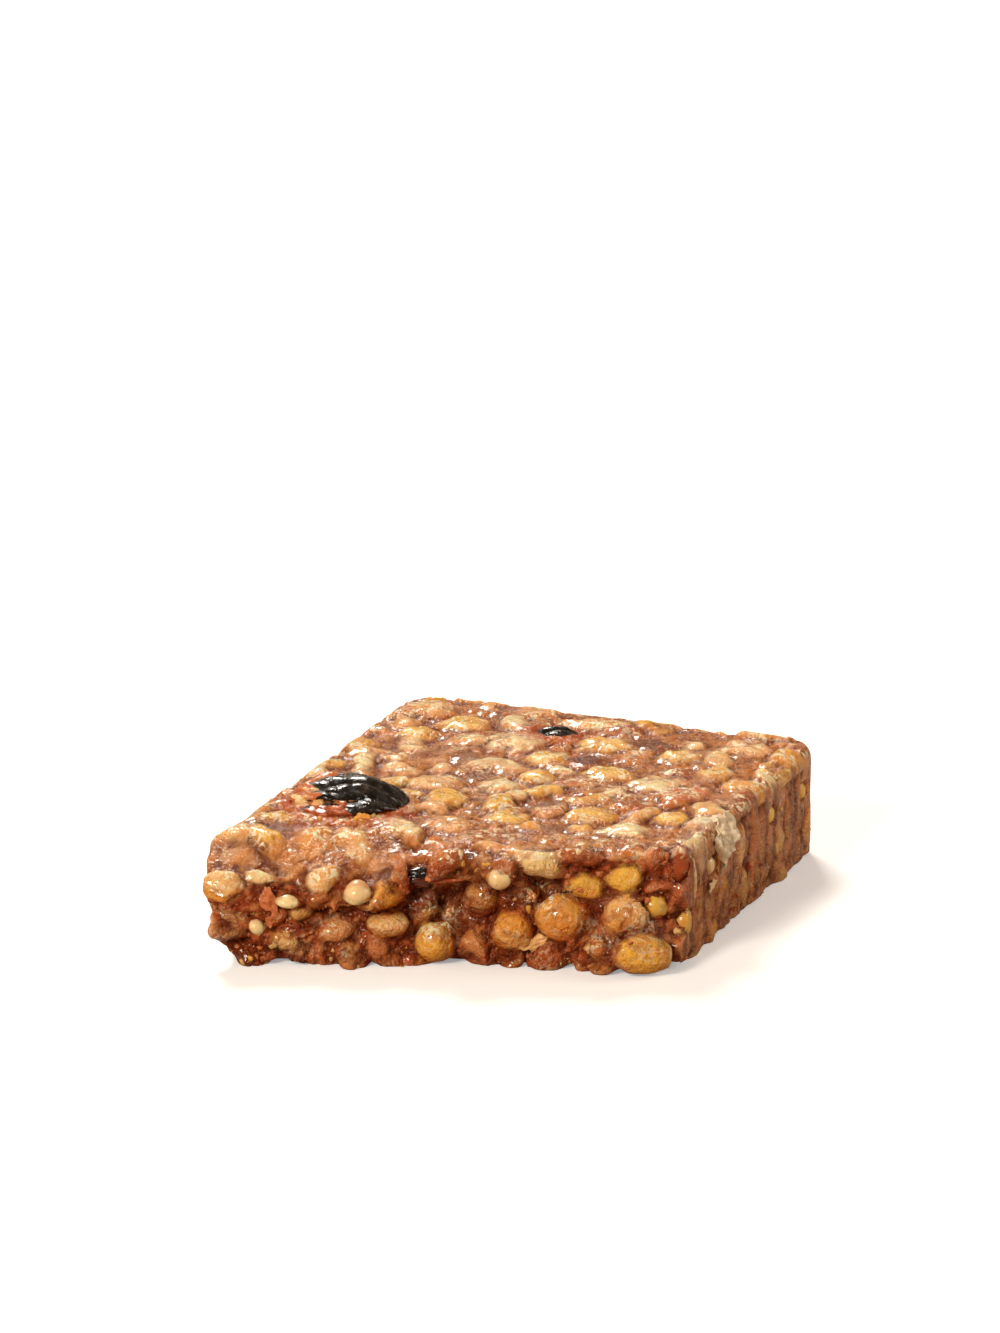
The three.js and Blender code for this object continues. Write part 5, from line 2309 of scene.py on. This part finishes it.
def fruit_places(shape: BarShape) -> tuple[FruitPlace, ...]:
    """The three pieces of dried fruit: two on top, one in a hollow of the snapped end.

    Args:
        shape: the bar's shape.

    Returns:
        Their places.
    """
    slant = math.degrees(math.atan2(shape.snap_along[1], shape.snap_along[0]))
    inner = shape.snap_point(19.4, 7.6, -0.7)
    return (
        FruitPlace("fruit_front", np.array([-12.3, -7.7, 10.0]), (5.1, 5.0, 2.3), 4, 9, 180),
        FruitPlace("fruit_back", np.array([-2.9, 17.6, 9.6]), (2.1, 1.5, 1.1), 20, 5, 80),
        FruitPlace("fruit_inner", inner, (1.3, 1.0, 0.8), slant, 4, 60, on_top=False),
    )


def claim(piece: Object, node: str) -> None:
    """Lets a piece ride with the bar and stand for a node, whose own mesh is hidden.

    Args:
        piece: the piece.
        node: the node's name.
    """
    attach(piece, "root")
    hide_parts(node)
    LOG.info("%s: %d faces", piece.name, len(piece.data.polygons))


def build_bar(shape: BarShape, groups: Groups) -> None:
    """Builds the paste, the seeds of each kind, the crumbs, the flakes and the fruit.

    Args:
        shape: the bar's shape.
        groups: the shared shader node groups.
    """
    fruits = fruit_places(shape)
    grains = GrainRule(shape, fruits).lay_out()
    paste = Paste(shape, grains, fruits, PasteFinish(groups).build())
    claim(paste.build(), "bar")
    finishes = {
        MILLET: GrainFinish(
            groups, "millet_seed", 0.3, subsurface=0.3, relief=0.04, mottle=0.2, smeared=0.4, coat=0.5
        ),
        FLAX: GrainFinish(
            groups, "flax_seed", 0.42, 0.2, relief=0.08, mottle=0.6, smeared=0.6, coat=0.02, specks=False
        ),
    }
    for kind, finish in finishes.items():
        own = [g for g in grains if g.kind is kind and g.is_bare]
        claim(GrainHeap(shape, kind, own, finish.build()).build(), "bar")
    crumb = GrainFinish(groups, "grain_crumb", roughness=0.5, relief=0.1).build()
    claim(Crumbs(paste, crumb).build(), "bar")
    husk = GrainFinish(groups, "pale_husk", 0.4, subsurface=0.1, relief=0.2, mottle=0.2, smeared=0.35)
    claim(Flakes(flake_list(shape), husk.build()).build(), "bar")
    skin = FruitFinish(groups).build()
    pieces = [DriedFruit(place, skin) for place in fruits]
    for piece in pieces:
        claim(piece.build(), piece.place.name)
    syrup = linear(150, 62, 14)
    sticky = GrainFinish(groups, "sticky_paste", 0.2, relief=0.2, smeared=0.9, coat=0.7, smear=syrup)
    claim(pieces[0].smear(sticky.build()), "bar")


def main() -> None:
    """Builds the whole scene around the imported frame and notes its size."""
    logging.basicConfig(level=logging.INFO, format="%(name)s %(message)s")
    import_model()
    build_bar(BarShape(), Groups(speckle_group(), grit_group()))
    Studio().build()


if __name__ == "__main__":
    main()
